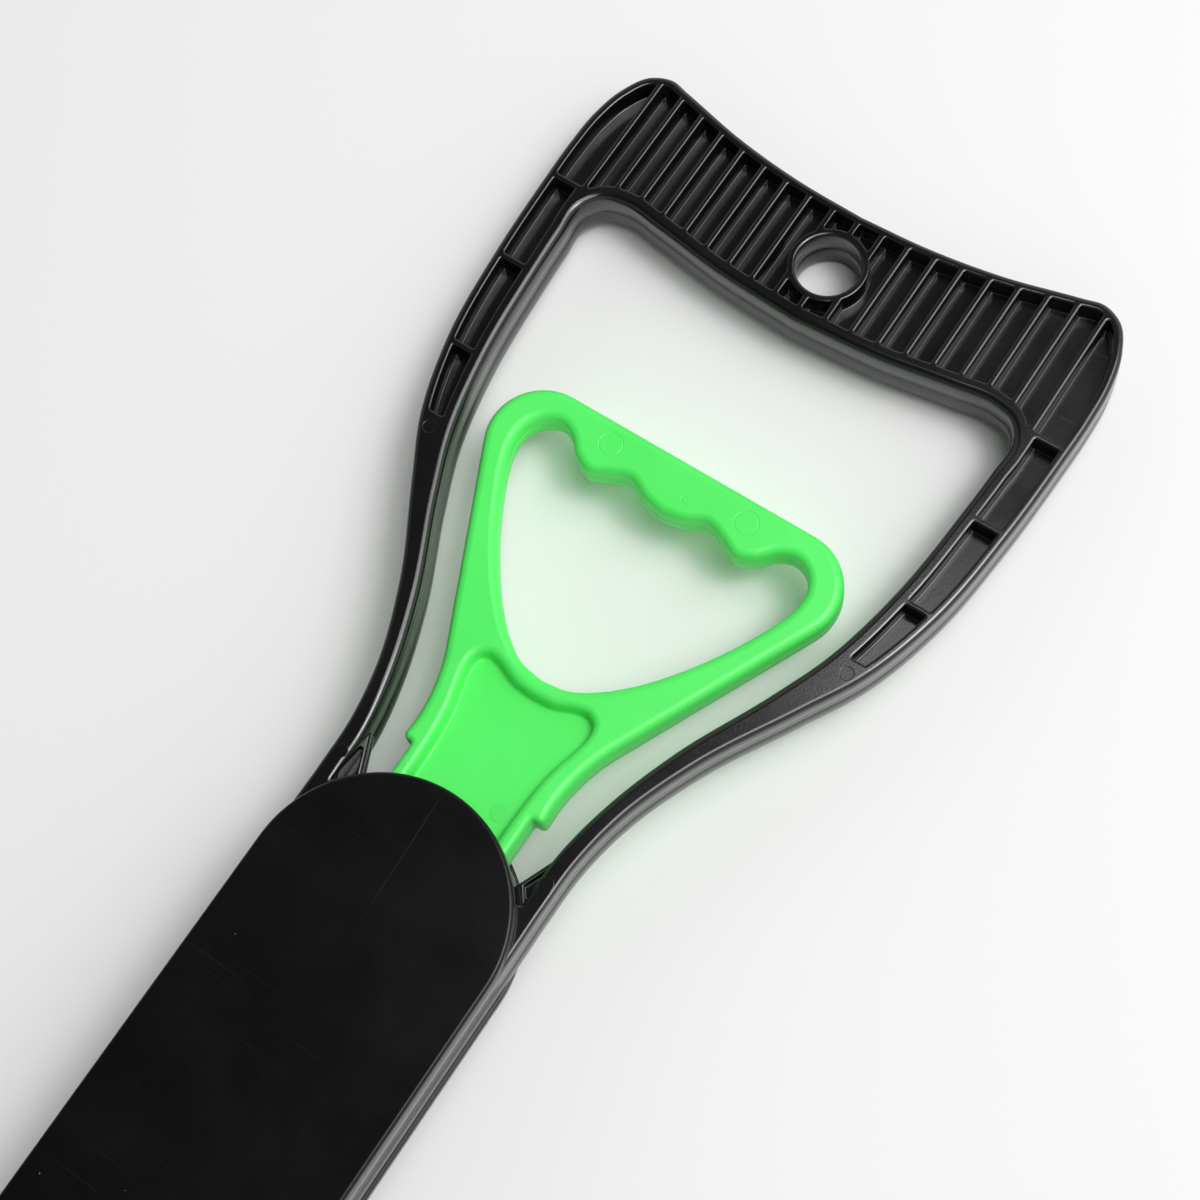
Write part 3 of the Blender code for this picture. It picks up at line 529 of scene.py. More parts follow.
def piece(node, bm, body, slot):
    """A shown piece from a bmesh in tool millimetres, riding on a body in place of its node."""
    name = node + "_visual"
    bm.transform(TOOL)
    mesh = mesh_of(name, bm)
    mesh.shade_smooth()
    mesh.set_sharp_from_angle(angle=SHARP)
    mesh.materials.append(MATERIALS[slot])
    shown = placed(name, mesh)
    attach(shown, body)
    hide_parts(node)
    return shown


# ---------------------------------------------------------------- materials
class Nodes:
    """A short hand for wiring a material or the world."""

    def __init__(self, owner, shader="Principled BSDF", space="Object"):
        owner.use_nodes = True
        self.owner = owner
        self.tree = owner.node_tree
        self.shader = self.tree.nodes[shader]
        self.place = self.tree.nodes.new("ShaderNodeTexCoord").outputs[space]

    def feed(self, socket, value):
        """Give a socket another node's output, or a constant.  A colour has three parts."""
        if isinstance(value, bpy.types.NodeSocket):
            self.tree.links.new(value, socket)
        else:
            socket.default_value = (*value, 1.0) if socket.type == "RGBA" else value

    def add(self, kind, inputs, **settings):
        node = self.tree.nodes.new("ShaderNode" + kind)
        for key, value in settings.items():
            setattr(node, key, value)
        for key, value in inputs.items():
            self.feed(node.inputs[key], value)
        return node

    def noise(self, scale, detail=3.0, rough=0.5, place=None, distortion=0.0):
        inputs = {"Vector": place or self.place, "Scale": scale, "Detail": detail,
                  "Roughness": rough, "Distortion": distortion}
        return self.add("TexNoise", inputs).outputs["Fac"]

    def stretched(self, scale, turn=0.0):
        """Object coordinates stretched and turned about Z, for scratches and brushing."""
        inputs = {"Vector": self.place, "Scale": scale, "Rotation": (0, 0, turn)}
        return self.add("Mapping", inputs).outputs["Vector"]

    def ramp(self, value, start, end, low=0.0, high=1.0):
        inputs = {"Value": value, "From Min": start, "From Max": end, "To Min": low, "To Max": high}
        return self.add("MapRange", inputs).outputs["Result"]

    def math(self, operation, a, b):
        return self.add("Math", {0: a, 1: b}, operation=operation).outputs[0]

    def times(self, a, b):
        return self.math("MULTIPLY", a, b)

    def mix(self, factor, a, b):
        """A mix of two colours, whose sockets are the seventh and the eighth of the node."""
        return self.add("Mix", {0: factor, 6: a, 7: b}, data_type="RGBA").outputs[2]

    def bump(self, height, distance, strength=1.0, below=None):
        inputs = {"Height": height, "Distance": distance, "Strength": strength}
        if below is not None:
            inputs["Normal"] = below
        return self.add("Bump", inputs).outputs["Normal"]

    def set(self, **values):
        """Feed the shader's sockets."""
        for key, value in values.items():
            self.feed(self.shader.inputs[key.replace("_", " ")], value)
        return self.owner


def new_nodes(name):
    return Nodes(bpy.data.materials.new(name))


def scratches(nodes, directions, density=0.72):
    """Fine straight marks in several directions, as a mask from 0 to 1."""
    mask = None
    for turn in directions:
        lines = nodes.noise(1.0, 1.0, 0.4, nodes.stretched((26.0, 2600.0, 2600.0), turn))
        line = nodes.ramp(lines, density, density + 0.04)
        mask = line if mask is None else nodes.math("MAXIMUM", mask, line)
    return mask


def long_scratch(nodes):
    """One long hairline down the cover, as a mask from 0 to 1."""
    (x0, y0), (x1, y1) = COVER_SCRATCH
    inputs = {"Vector": nodes.place, "Location": TOOL.translation, "Rotation": TOOL.to_euler(),
              "Scale": TOOL.to_scale()}
    flat = nodes.add("Mapping", inputs, vector_type="TEXTURE").outputs["Vector"]
    spot = nodes.add("SeparateXYZ", {"Vector": flat}).outputs
    drift = nodes.ramp(spot["Y"], y0, y1, x0, x1)
    off = nodes.math("ABSOLUTE", nodes.math("SUBTRACT", spot["X"], drift), 0.0)
    mask = nodes.ramp(off, 0.15, 0.05)
    for start, end in ((y0 + 0.1, y0 - 8), (y1 - 0.1, y1 + 10)):
        mask = nodes.times(mask, nodes.ramp(spot["Y"], start, end))
    return mask


def specks(nodes, scale, size, share):
    """Sparse round specks of dust, as a mask from 0 to 1."""
    cells = nodes.add("TexVoronoi", {"Vector": nodes.place, "Scale": scale, "Randomness": 1.0})
    spot = nodes.ramp(cells.outputs["Distance"], size, size * 0.5)
    chosen = nodes.add("SeparateColor", {"Color": cells.outputs["Color"]}).outputs["Red"]
    return nodes.times(spot, nodes.ramp(chosen, 1 - share, 1 - share + 0.01))


def moulded_black(name, colour, specular, dust, low, high, grain, long_mark=False):
    """Satin black plastic: fine mould grain, cloudy gloss, hairline scratches and dust."""
    nodes = new_nodes(name)
    marks = scratches(nodes, (0.5, 1.9, 2.7), 0.78)
    dirt = specks(nodes, 210.0, 0.05, 0.05)
    cloud = nodes.noise(38.0, 4.0, 0.6)
    fine = nodes.noise(2100.0, 2.0, 0.6)
    shade = nodes.mix(nodes.ramp(cloud, 0.35, 0.7), colour, [c * 1.35 for c in colour])
    shade = nodes.mix(nodes.times(marks, 0.12), shade, (0.04, 0.04, 0.042))
    if long_mark:
        shade = nodes.mix(nodes.times(long_scratch(nodes), 0.5), shade, (0.03, 0.03, 0.03))
    shade = nodes.mix(nodes.times(dirt, dust), shade, (0.32, 0.32, 0.31))
    gloss = nodes.math("ADD", nodes.ramp(cloud, 0.3, 0.75, low, high), nodes.times(marks, 0.04))
    relief = nodes.bump(marks, -0.00002, 0.2, nodes.bump(fine, 0.00005, grain))
    return nodes.set(Base_Color=shade, Roughness=gloss, Normal=relief, IOR=1.46,
                     Specular_IOR_Level=specular)


def moulded_green():
    """Bright green polypropylene: a little translucent, with flow clouds and a satin grain."""
    nodes = new_nodes("green_plastic")
    cloud = nodes.noise(24.0, 4.0, 0.55, distortion=0.4)
    fine = nodes.noise(1500.0, 2.0, 0.6)
    marks = scratches(nodes, (0.3, 1.3, 2.4), 0.73)
    shade = nodes.mix(nodes.ramp(cloud, 0.3, 0.7), (0.074, 0.84, 0.115), (0.086, 0.90, 0.133))
    shade = nodes.mix(nodes.times(marks, 0.12), shade, (0.25, 0.93, 0.30))
    gloss = nodes.ramp(nodes.noise(60.0, 3.0), 0.3, 0.7, 0.36, 0.46)
    relief = nodes.bump(cloud, 0.00025, 0.35, nodes.bump(fine, 0.00003, 0.25))
    return nodes.set(Base_Color=shade, Roughness=gloss, Normal=relief, IOR=1.49, Specular_IOR_Level=0.6,
                     Subsurface_Weight=0.1, Subsurface_Scale=0.0015, Subsurface_Radius=(0.5, 1.0, 0.5))


def natural_acetal():
    """Off-white gear plastic with slight clouding and grease-darkened patches."""
    nodes = new_nodes("gear_plastic")
    cloud = nodes.noise(45.0, 4.0, 0.6)
    shade = nodes.mix(nodes.ramp(cloud, 0.3, 0.75), (0.64, 0.63, 0.58), (0.54, 0.53, 0.47))
    gloss = nodes.ramp(cloud, 0.3, 0.7, 0.34, 0.50)
    relief = nodes.bump(nodes.noise(1400.0, 2.0), 0.00004, 0.25)
    return nodes.set(Base_Color=shade, Roughness=gloss, Normal=relief, IOR=1.48,
                     Subsurface_Weight=0.08, Subsurface_Scale=0.001)


def zinc_steel():
    """Zinc-plated steel, clouded and finely brushed."""
    nodes = new_nodes("steel")
    cloud = nodes.noise(120.0, 4.0, 0.6)
    brushed = nodes.noise(1.0, 2.0, 0.5, nodes.stretched((300.0, 5200.0, 300.0)))
    shade = nodes.mix(nodes.ramp(cloud, 0.3, 0.7), (0.52, 0.53, 0.55), (0.66, 0.66, 0.65))
    gloss = nodes.ramp(brushed, 0.3, 0.7, 0.24, 0.38)
    relief = nodes.bump(brushed, 0.00002, 0.4)
    return nodes.set(Base_Color=shade, Roughness=gloss, Normal=relief, Metallic=1.0)


def soft_rubber():
    nodes = new_nodes("rubber")
    grain = nodes.noise(900.0, 3.0, 0.6)
    shade = nodes.mix(nodes.ramp(grain, 0.3, 0.7), (0.022, 0.022, 0.022), (0.038, 0.037, 0.036))
    gloss = nodes.ramp(grain, 0.3, 0.7, 0.72, 0.88)
    return nodes.set(Base_Color=shade, Roughness=gloss, Normal=nodes.bump(grain, 0.0001, 0.4))


MATERIALS = {
    "black_plastic": moulded_black("black_plastic", (0.0040, 0.0040, 0.0042), 0.95, 0.5, 0.13, 0.20, 0.25),
    "cover_plastic": moulded_black("cover_plastic", (0.0022, 0.0022, 0.0025), 0.35, 0.6, 0.24, 0.33, 0.30,
                                   long_mark=True),
    "green_plastic": moulded_green(),
    "gear_plastic": natural_acetal(),
    "steel": zinc_steel(),
    "rubber": soft_rubber(),
}


# ---------------------------------------------------------------- shared outlines
def half_width(y):
    """Half the width of the covers at y, above the pivots."""
    return BODY_HALF + (HEAD_HALF - BODY_HALF) * ease(-y, -FLARE_TOP_Y, -FLARE_END_Y)


def flare(margin, from_y, to_y, step=4.0):
    """The right edge of the body, going down, margin mm inside the covers."""
    count = max(1, round((from_y - to_y) / step))
    return [(half_width(y) - margin, y) for y in evenly(from_y, to_y, count)]


def boss_x(y):
    return half_width(y) - RAIL_INSET - RAIL_THICKNESS - BOSS_INSET


def screw_places():
    return [(sign * boss_x(y), y) for y in SCREW_ROWS_Y for sign in (-1, 1)]


def cover_outline():
    """A cover's outline: round end, straight body, flared shoulders and a gear head."""
    half = arc(0, END_CENTRE_Y, BODY_HALF, pi / 2, 0, 36)
    half += [(BODY_HALF, y) for y in (-40, -120, -200)]
    half += flare(0, FLARE_TOP_Y, FLARE_END_Y)
    half += [(PIVOT_X + x * (HEAD_HALF - PIVOT_X), PIVOT_Y + y * HEAD_DROP)
             for x, y in arc(0, 0, 1, 0, -radians(100), 30)]
    nose = [half[-1], (29, -447.5), (21, -459), (13.5, NOSE_Y + 2.5), (0, NOSE_Y)]
    return wound(mirrored(half + smooth_path(nose, 2.0)[1:]))


# ---------------------------------------------------------------- the handle frame
OUTER_CURVE, INNER_CURVE = smooth_path(GRIP_OUTER), smooth_path(GRIP_INNER)


def ring_edge(x0, x1, side):
    """The part of the hang ring's outer circle from x0 to x1, above (1) or below (-1) it."""
    return [(x, HANG_HOLE[1] + side * sqrt(max(0.0, HANG_RING_R**2 - x * x))) for x in evenly(x0, x1, 6)]


def grip_pockets():
    """Outlines of the open cells between the ribs of the grip and of the arms."""
    top, low = shifted(OUTER_CURVE, OUTER_RIM), shifted(INNER_CURVE, -INNER_RIM)
    arm_top, arm_low = (path[path.index(max(path, key=lambda p: p[1])):] for path in (top, low))
    half_rib = RIB_THICKNESS / 2
    cells = []
    for i in range(RIB_COUNT_HALF):
        x0, x1 = i * RIB_PITCH + half_rib, (i + 1) * RIB_PITCH - half_rib
        xs = evenly(x0, x1, 3)
        upper = [(x, value_at(top, x, 0)) for x in reversed(xs)]
        lower = [(x, value_at(low, x, 0)) for x in xs]
        if x1 < HANG_RING_R:
            cells.append(ring_edge(x0, x1, 1) + upper)
            cells.append(lower + ring_edge(x1, x0, -1))
        elif x0 < HANG_RING_R:
            bite = acos(x0 / HANG_RING_R)
            cells.append(lower + upper + arc(*HANG_HOLE, HANG_RING_R, bite, -bite, 10))
        else:
            cells.append(lower + upper)
    last_x = RIB_COUNT_HALF * RIB_PITCH + half_rib
    first_y = ARM_RIBS_Y[0] + half_rib
    edge = [p for p in top if p[0] > last_x and p[1] > first_y]
    cells.append([(last_x, first_y), (last_x, value_at(top, last_x, 0))] + edge
                 + [(value_at(arm_top, first_y, 1), first_y)])
    ends = list(ARM_RIBS_Y[1:]) + [ARM_POCKET_END_Y - half_rib]
    for high_y, low_y in zip(ARM_RIBS_Y, ends):
        ys = evenly(high_y - half_rib, low_y + half_rib, 6)
        outside = [(value_at(arm_top, y, 1), y) for y in ys]
        inside = [(value_at(arm_low, min(y, ARM_CORNER_Y), 1), y) for y in ys]
        cells.append(outside + inside[::-1])
    return cells + [other_side(cell) for cell in cells]


def frame_outline():
    """The frame's edge: outside, feet, bays and the D-shaped opening, in one closed line."""
    wall = RAIL_INSET + RAIL_THICKNESS
    half = OUTER_CURVE + flare(RAIL_INSET, END_CENTRE_Y, FLARE_TOP_Y, 80)
    half += flare(RAIL_INSET, FLARE_TOP_Y, FRAME_END_Y)[1:]
    foot_x = half_width(FRAME_END_Y) - wall
    half += [(foot_x, FRAME_END_Y), (foot_x, BAY_WALL_Y[1])]
    half += [(RACK_GAP, BAY_WALL_Y[1]), (RACK_GAP, BAY_WALL_Y[0])]
    bay_tops = [MOUTH_BLOCK_Y] + [y - CROSS_MEMBER_DEPTH for y in CROSS_MEMBERS_Y]
    bays = list(zip(bay_tops, (*CROSS_MEMBERS_Y, BAY_WALL_Y[0])))
    for high_y, low_y in reversed(bays):
        half += flare(wall, high_y, low_y, 60 if low_y > FLARE_TOP_Y else 4)[::-1]
        gap = SLOT_HALF if high_y == MOUTH_BLOCK_Y else ROD_GAP
        half += [(gap, high_y), (gap, high_y + CROSS_MEMBER_DEPTH)]
    half.pop()
    end_r = BODY_HALF - RAIL_INSET
    foot_angle = acos(ARM_FOOT_X / end_r)
    half += arc(0, END_CENTRE_Y, end_r, acos(SLOT_HALF / end_r), foot_angle, 6)
    return mirrored(half + INNER_CURVE[::-1])


def frame_edge_radius(x, y):
    """How round the frame's edges are: softest in the D-shaped opening, crisp under the covers."""
    if y < COVER_TOP_Y and abs(x) < ARM_FOOT_X - 0.3:
        return 0.3
    in_opening = any(hypot(abs(x) - a, y - b) < 1.6 for a, b in INNER_CURVE)
    low, high = (1.2, 1.9) if in_opening else (1.0, 1.3)
    return low + (high - low) * ease(y, COVER_TOP_Y, 84)


def rib_lip(x, y):
    """How far the ribs' tops are crowned: less where the cells crowd round the hang hole."""
    return 0.42 + 0.22 * ease(hypot(x - HANG_HOLE[0], y - HANG_HOLE[1]), 15, 19)


def frame_shell():
    """The frame's outside, its bays and every open cell, in one solid."""
    outline = wound(softened(frame_outline(), 1.0))
    walls = [wall_to_seam(outline, FRAME_HALF, frame_edge_radius),
             wall_to_seam(round_hole(HANG_HOLE, HANG_HOLE_R, 48), FRAME_HALF, 0.7, 0.1)]
    pockets = []
    for cell in grip_pockets():
        loop = wound(softened(cell, 0.5), False)
        pockets.append(pocket(loop, FRAME_HALF, WEB_HALF, rib_lip, 0.12, 0.25, 0.4))
    for spot in (ARM_MARK, *other_side([ARM_MARK])):
        mark = round_hole(spot, ARM_MARK_R, 28)
        pockets.append(pocket(mark, FRAME_HALF, FRAME_HALF - 0.12, 0.06, 0.02, 0.05))
    return loft(walls, pockets)


def arm_foot(side):
    """The hollowed strut and the round ejector pad at the foot of the right (1) or left (-1) arm."""
    strut, hollow, (pad,) = ([(side * x, y) for x, y in loop]
                             for loop in (STRUT, STRUT_POCKET, [EJECTOR_PAD]))
    recess = pocket(wound(softened(hollow, 0.4), False), STRUT_TOP, 0.8, 0.3, 0.05, 0.2)
    web = loft([wall_to_seam(wound(softened(strut, 0.4)), STRUT_TOP, 0.6, 0.05)], [recess])
    face = FRAME_HALF + 0.03
    return [web, bar(EJECTOR_PAD_R, -face, face, pad, sides=36, edge=0.08)]


def bridge_plates():
    """Plates over and under the stem's mouth, the rod and the rack, as (outline, half the gap)."""
    end_r = BODY_HALF - RAIL_INSET
    angle = acos((SLOT_HALF + 0.3) / end_r)
    lip = arc(0, END_CENTRE_Y, end_r - 0.3, angle, pi - angle, 24)
    plates = [(lip + [(-SLOT_HALF - 0.3, MOUTH_BLOCK_Y), (SLOT_HALF + 0.3, MOUTH_BLOCK_Y)], SLOT_DEEP)]
    spans = [(ROD_GAP + 0.3, y, y - CROSS_MEMBER_DEPTH, ROD_GAP) for y in CROSS_MEMBERS_Y]
    spans.append((RACK_GAP + 0.3, *BAY_WALL_Y, RACK_HALF + 1.1))
    for x, y0, y1, gap in spans:
        plates.append((oblong(-x, x, y0, y1), gap))
    return plates


def make_frame():
    parts = [frame_shell()] + arm_foot(1) + arm_foot(-1)
    for loop, gap in bridge_plates():
        for side in (1, -1):
            edge = wound(loop)
            plate = loft([round_edge(edge, FRAME_HALF - 0.02, 0.3) + [level(edge, 0, gap)]], seam=False)
            parts.append(plate if side > 0 else flipped(plate, (0, 0, 1)))
    for spot in screw_places():
        parts.append(collar(BOSS_R, HOLE_R, -FRAME_HALF + 0.1, 1.0, spot, sides=28))
    piece("handle_frame", joined(parts), "frame", "black_plastic")


# ---------------------------------------------------------------- covers and fasteners
def make_cover(front):
    """A tray with a soft outer edge, screw posts inside and, at the back, counterbores."""
    outline = cover_outline()
    rim = ((0.0, -0.35), (0.06, -0.1), (0.2, 0.0), (COVER_WALL - 0.1, 0.0), (COVER_WALL, -0.2))
    tray = round_edge(outline, COVER_OUT, 0.9, 0.1, 5) + stepped(outline, COVER_IN, rim)
    recesses = [tray + [level(outline, COVER_WALL, COVER_OUT - COVER_WALL)]]
    places = screw_places()
    post_r, post_foot = 3.1, 1.3
    if not front:
        places.append(STOP_SCREW)
        post_r, post_foot = 4.1, COVER_IN
        floor = COVER_OUT - COUNTERBORE_DEEP
        recesses += [pocket(round_hole(spot, COUNTERBORE_R, 32), COVER_OUT, floor, 0.25, 0.02, 0.1)
                     for spot in places]
    parts = [loft([], recesses, seam=False)]
    for spot in places:
        parts.append(collar(post_r, HOLE_R, post_foot, COVER_OUT - COVER_WALL + 0.1, spot, sides=24))
    cover = joined(parts)
    if not front:
        flipped(cover, (0, 0, 1))
    piece("front_cover" if front else "rear_cover", cover, "frame", "cover_plastic")


def screw_solid(spot, head_z, tip_z, head_r, shank_r, head_height):
    """A slotted pan-head screw along Z.  One that points up is built upside down and flipped."""
    way = 1 if head_z > tip_z else -1
    face = way * head_z
    rim = wound(circle(spot, head_r, 32))
    dome = stepped(rim, face, ((1.25, 0), (1.15, 0), (0.75, 0.07), (0.35, 0.28), (0.1, 0.6), (0, 1.0),
                               (0, head_height)))
    arm, width = head_r * 0.52, head_r * 0.15
    x, y = spot
    slot = wound(softened(oblong(x - arm, x + arm, y - width, y + width), 0.12, 3), False)
    head = loft([dome], [pocket(slot, face, face - head_height / 2, 0.04, 0.01, 0.05)], seam=False)
    screw = joined([head, bar(shank_r, way * tip_z, face - head_height / 2, spot, sides=20)])
    return screw if way > 0 else flipped(screw, (0, 0, 1))


def make_screws():
    for row, y in enumerate(SCREW_ROWS_Y):
        for side, sign in (("left", -1), ("right", 1)):
            name = "cover_screw_" + side + "_" + str(row + 1)
            screw = screw_solid((sign * boss_x(y), y), SCREW_FACE, 7.8, *COVER_SCREW)
            piece(name, screw, "frame", "steel")
    piece("stop_screw", screw_solid(STOP_SCREW, SCREW_FACE, 4.0, *COVER_SCREW), "frame", "steel")


def block_solid(x_half, y0, y1, low, high, corner, edge):
    """An upright block with round corners and soft edges."""
    loop = wound(softened(oblong(-x_half, x_half, y0, y1), corner, 6))
    return loft([through(loop, low, high, edge)], seam=False)


def make_stop():
    stop_half, pad_half, y = 10, 7, STOP_SCREW[1]
    stop = block_solid(stop_half, y - 5, y + 5, -FRAME_HALF, COVER_OUT - COVER_WALL - 0.3, 2, 0.5)
    piece("rack_stop", stop, "frame", "black_plastic")
    pad = block_solid(pad_half, y + 5.3, y + 9.2, -RACK_HALF, RACK_HALF, 1, 0.6)
    piece("rack_bumper", pad, "frame", "rubber")


# ---------------------------------------------------------------- the sliding group
def handle_outline():
    """The pull handle's outline: a rounded triangle on a straight stem with shoulders."""
    side_x, side_y = HANDLE_SIDE
    corner_x = side_x + HANDLE_SIDE_SLOPE * (HANDLE_TOP_Y - side_y)
    waist_y = side_y - (side_x - SHOULDER_HALF) / HANDLE_SIDE_SLOPE
    half = [(corner_x, HANDLE_TOP_Y, 15, 18), (SHOULDER_HALF, waist_y, 48.5, 16),
            (SHOULDER_HALF, SHOULDER_Y, 1.6, 6), (STEM_HALF, SHOULDER_Y, 0.8, 4),
            (STEM_HALF, STEM_END_Y, 1.5, 4)]
    corners = half + [(-x, y, r, n) for x, y, r, n in reversed(half)]
    points = []
    for i, (x, y, radius, steps) in enumerate(corners):
        corner = Vector((x, y))
        before = (Vector(corners[i - 1][:2]) - corner).normalized()
        after = (Vector(corners[(i + 1) % len(corners)][:2]) - corner).normalized()
        half_angle = acos(max(-1.0, min(1.0, before.dot(after)))) / 2
        centre = corner + (before + after).normalized() * (radius / sin(half_angle))
        first = corner + before * (radius / tan(half_angle)) - centre
        last = corner + after * (radius / tan(half_angle)) - centre
        turn = atan2(first.x * last.y - first.y * last.x, first.dot(last))
        points += [tuple(centre + Matrix.Rotation(turn * k / steps, 2) @ first) for k in range(steps + 1)]
    return points


FINGER_HOLE = [(0, 151.0), (5.5, 152.2), (11.8, 154.8), (17.5, 152.9), (22.2, 151.0),
               (27, 153.0), (31, 157.0), (35, 158.6), (39.5, 157), (42.4, 152.8), (42.6, 148),
               (40.8, 142), (37.5, 135), (33, 127), (27.5, 118.8), (20.5, 110.3), (13.5, 104),
               (7, 100.2), (0, 99.0)]
RING_MARKS = (((-20.4, 159.8), 3.3, 0.35), ((20.4, 159.8), 3.3, 0.35), ((3.5, 157.0), 0.8, 0.3))
STEM_PAD, STEM_PAD_R = (9.5, 66), 2.3
STEM_POCKET = [(0, 94.3), (6, 95.0), (11, 97.0), (14.4, 97.7), (17.2, 96.2), (17.9, 93),
               (17, 88), (15.4, 82), (14.4, 75), (14, 68), (14, 40)]


def ring_mark(spot, radius, width, depth=0.1):
    """The fine circular groove that a round ejector pin leaves."""
    steps = ((0.03 + SUPPORT, 0.0), (0.03, 0.0), (0.0, 0.01), (-0.08, depth), (0.08 - width, depth),
             (-width, 0.01), (-width - 0.03, 0.0), (-width - 0.03 - SUPPORT, 0.0))
    return stepped(round_hole(spot, radius), HANDLE_HALF, steps)


def make_pull_handle():
    outline = wound(handle_outline())
    hole = wound(mirrored(smooth_path(FINGER_HOLE, 1.2)), False)
    stem = wound(mirrored(smooth_path(STEM_POCKET, 1.5) + [(14, 14)]), False)

    def edge(_, y):
        return 0.6 + 1.7 * ease(y, SHOULDER_Y - 8.6, SHOULDER_Y + 7.4)

    walls = [wall_to_seam(outline, HANDLE_HALF, edge, 0.1, 0.3),
             wall_to_seam(hole, HANDLE_HALF, 2.1, 0.1, 0.3)]
    recess = round_edge(stem, HANDLE_HALF, 1.8) + floor_fillet(stem, HANDLE_WEB_HALF, 0.7, -0.25, 4)
    face = HANDLE_WEB_HALF + 0.05
    handle = joined([loft(walls, [recess], [ring_mark(*mark) for mark in RING_MARKS]),
                     bar(STEM_PAD_R, -face, face, STEM_PAD, edge=0.04)])
    piece("pull_handle", handle, "puller", "green_plastic")


def make_rod_group():
    rod = bar(ROD_R, ROD_END_Y, 8.5, axis="Y", sides=40)
    piece("pull_rod", rod, "puller", "steel")
    pins = (("rod_pin_upper", 0, 5.0, 1.5), ("rod_pin_lower", ROD_END_Y + 7, 5.4, 1.5),
            ("collar_pin", COLLAR_Y, 6.6, 1.2))
    for name, y, half, radius in pins:
        piece(name, bar(radius, -half, half, (0, y), sides=20, edge=0.2), "puller", "steel")
    low, high = COLLAR_Y - COLLAR_HALF, COLLAR_Y + COLLAR_HALF
    ring = collar(6.8, ROD_R + 0.1, low, high, axis="Y", sides=48, edge=0.6)
    piece("spring_collar", ring, "puller", "black_plastic")


def make_return_spring():
    """A compression spring with closed ends, from the first cross member to the collar."""
    coil_r, wire_r, turns, per_turn, sides = 5.6, 0.64, 9, 30, 12
    high = CROSS_MEMBERS_Y[0] - CROSS_MEMBER_DEPTH - wire_r - 0.3
    low = COLLAR_Y + COLLAR_HALF + wire_r + 0.3
    bm = bmesh.new()
    rings = []
    for along in evenly(0, 1, turns * per_turn):
        closed = ease(along, 0.0, 0.14) * 0.5 + 0.5 * ease(along, 0.86, 1.0)
        middle_y = high + (low - high) * (0.75 * along + 0.25 * closed)
        angle = 2 * pi * turns * along
        rings.append([((coil_r + x) * cos(angle), middle_y + y, (coil_r + x) * sin(angle))
                      for x, y in circle((0, 0), wire_r, sides)])
    first, last = stack(bm, rings)
    bm.faces.new(first)
    bm.faces.new(last[::-1])
    bmesh.ops.recalc_face_normals(bm, faces=bm.faces)
    spring = piece("return_spring", bm, "puller", "steel")
    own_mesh(spring)


def make_rack():
    """The double rack: a socket for the rod, a plain bar and seven teeth on each side."""
    pitch = pi * GEAR_MODULE
    pitch_x = PIVOT_X - PITCH_R
    root_x, tip_x = pitch_x - 1.25 * GEAR_MODULE, pitch_x + GEAR_MODULE
    half_tooth = pitch / 4 - BACKLASH / 2

    def flank(x):
        return half_tooth - (x - pitch_x) * tan(PRESSURE_ANGLE)

    start_y, socket_y = RACK_SOCKET_Y
    half = [(0, start_y), (RACK_SOCKET_HALF, start_y), (RACK_SOCKET_HALF, socket_y),
            (RACK_BAR_HALF, socket_y - 3), (RACK_BAR_HALF, RACK_BAR_END_Y), (root_x, RACK_BAR_END_Y - 1)]
    for k in range(1, -6, -1):
        y = PIVOT_Y + k * pitch
        half += [(root_x, y + flank(root_x)), (tip_x, y + flank(tip_x)),
                 (tip_x, y - flank(tip_x)), (root_x, y - flank(root_x))]
    half += [(root_x, RACK_END_Y), (0, RACK_END_Y)]
    outline = wound(softened(mirrored(half), 0.35, 3))
    rack = loft([half_wall(outline, RACK_HALF, 0.35, 0.03)])
    socket = bar(RACK_HALF + 0.85, socket_y, start_y, axis="Y", sides=40, edge=0.6)
    piece("rack", joined([rack, socket]), "puller", "gear_plastic")


# ---------------------------------------------------------------- the hands
def tooth_points(centre):
    """One involute tooth of the sector, as (angle, radius) with rising angle."""
    base_r = PITCH_R * cos(PRESSURE_ANGLE)
    root_r, tip_r = PITCH_R - 1.25 * GEAR_MODULE, PITCH_R + GEAR_MODULE
    at_pitch = (pi * GEAR_MODULE / 2 - BACKLASH / 2) / (2 * PITCH_R)

    def half_angle(radius):
        slope = acos(min(1.0, base_r / radius))
        return at_pitch + tan(PRESSURE_ANGLE) - PRESSURE_ANGLE - (tan(slope) - slope)

    radii = [root_r] + evenly(base_r, tip_r, 6)
    rising = [(centre - half_angle(max(r, base_r)), r) for r in radii]
    falling = [(centre + half_angle(max(r, base_r)), r) for r in reversed(radii)]
    return rising + falling


def from_pivot(points):
    """Points in X and Y from (angle, radius) about the right pivot."""
    return [(PIVOT_X + radius * cos(angle), PIVOT_Y + radius * sin(angle)) for angle, radius in points]


def screw_spots(direction):
    return from_pivot((direction + way * SECTOR_SCREW_SPREAD, SECTOR_SCREW_R) for way in (-1, 1))


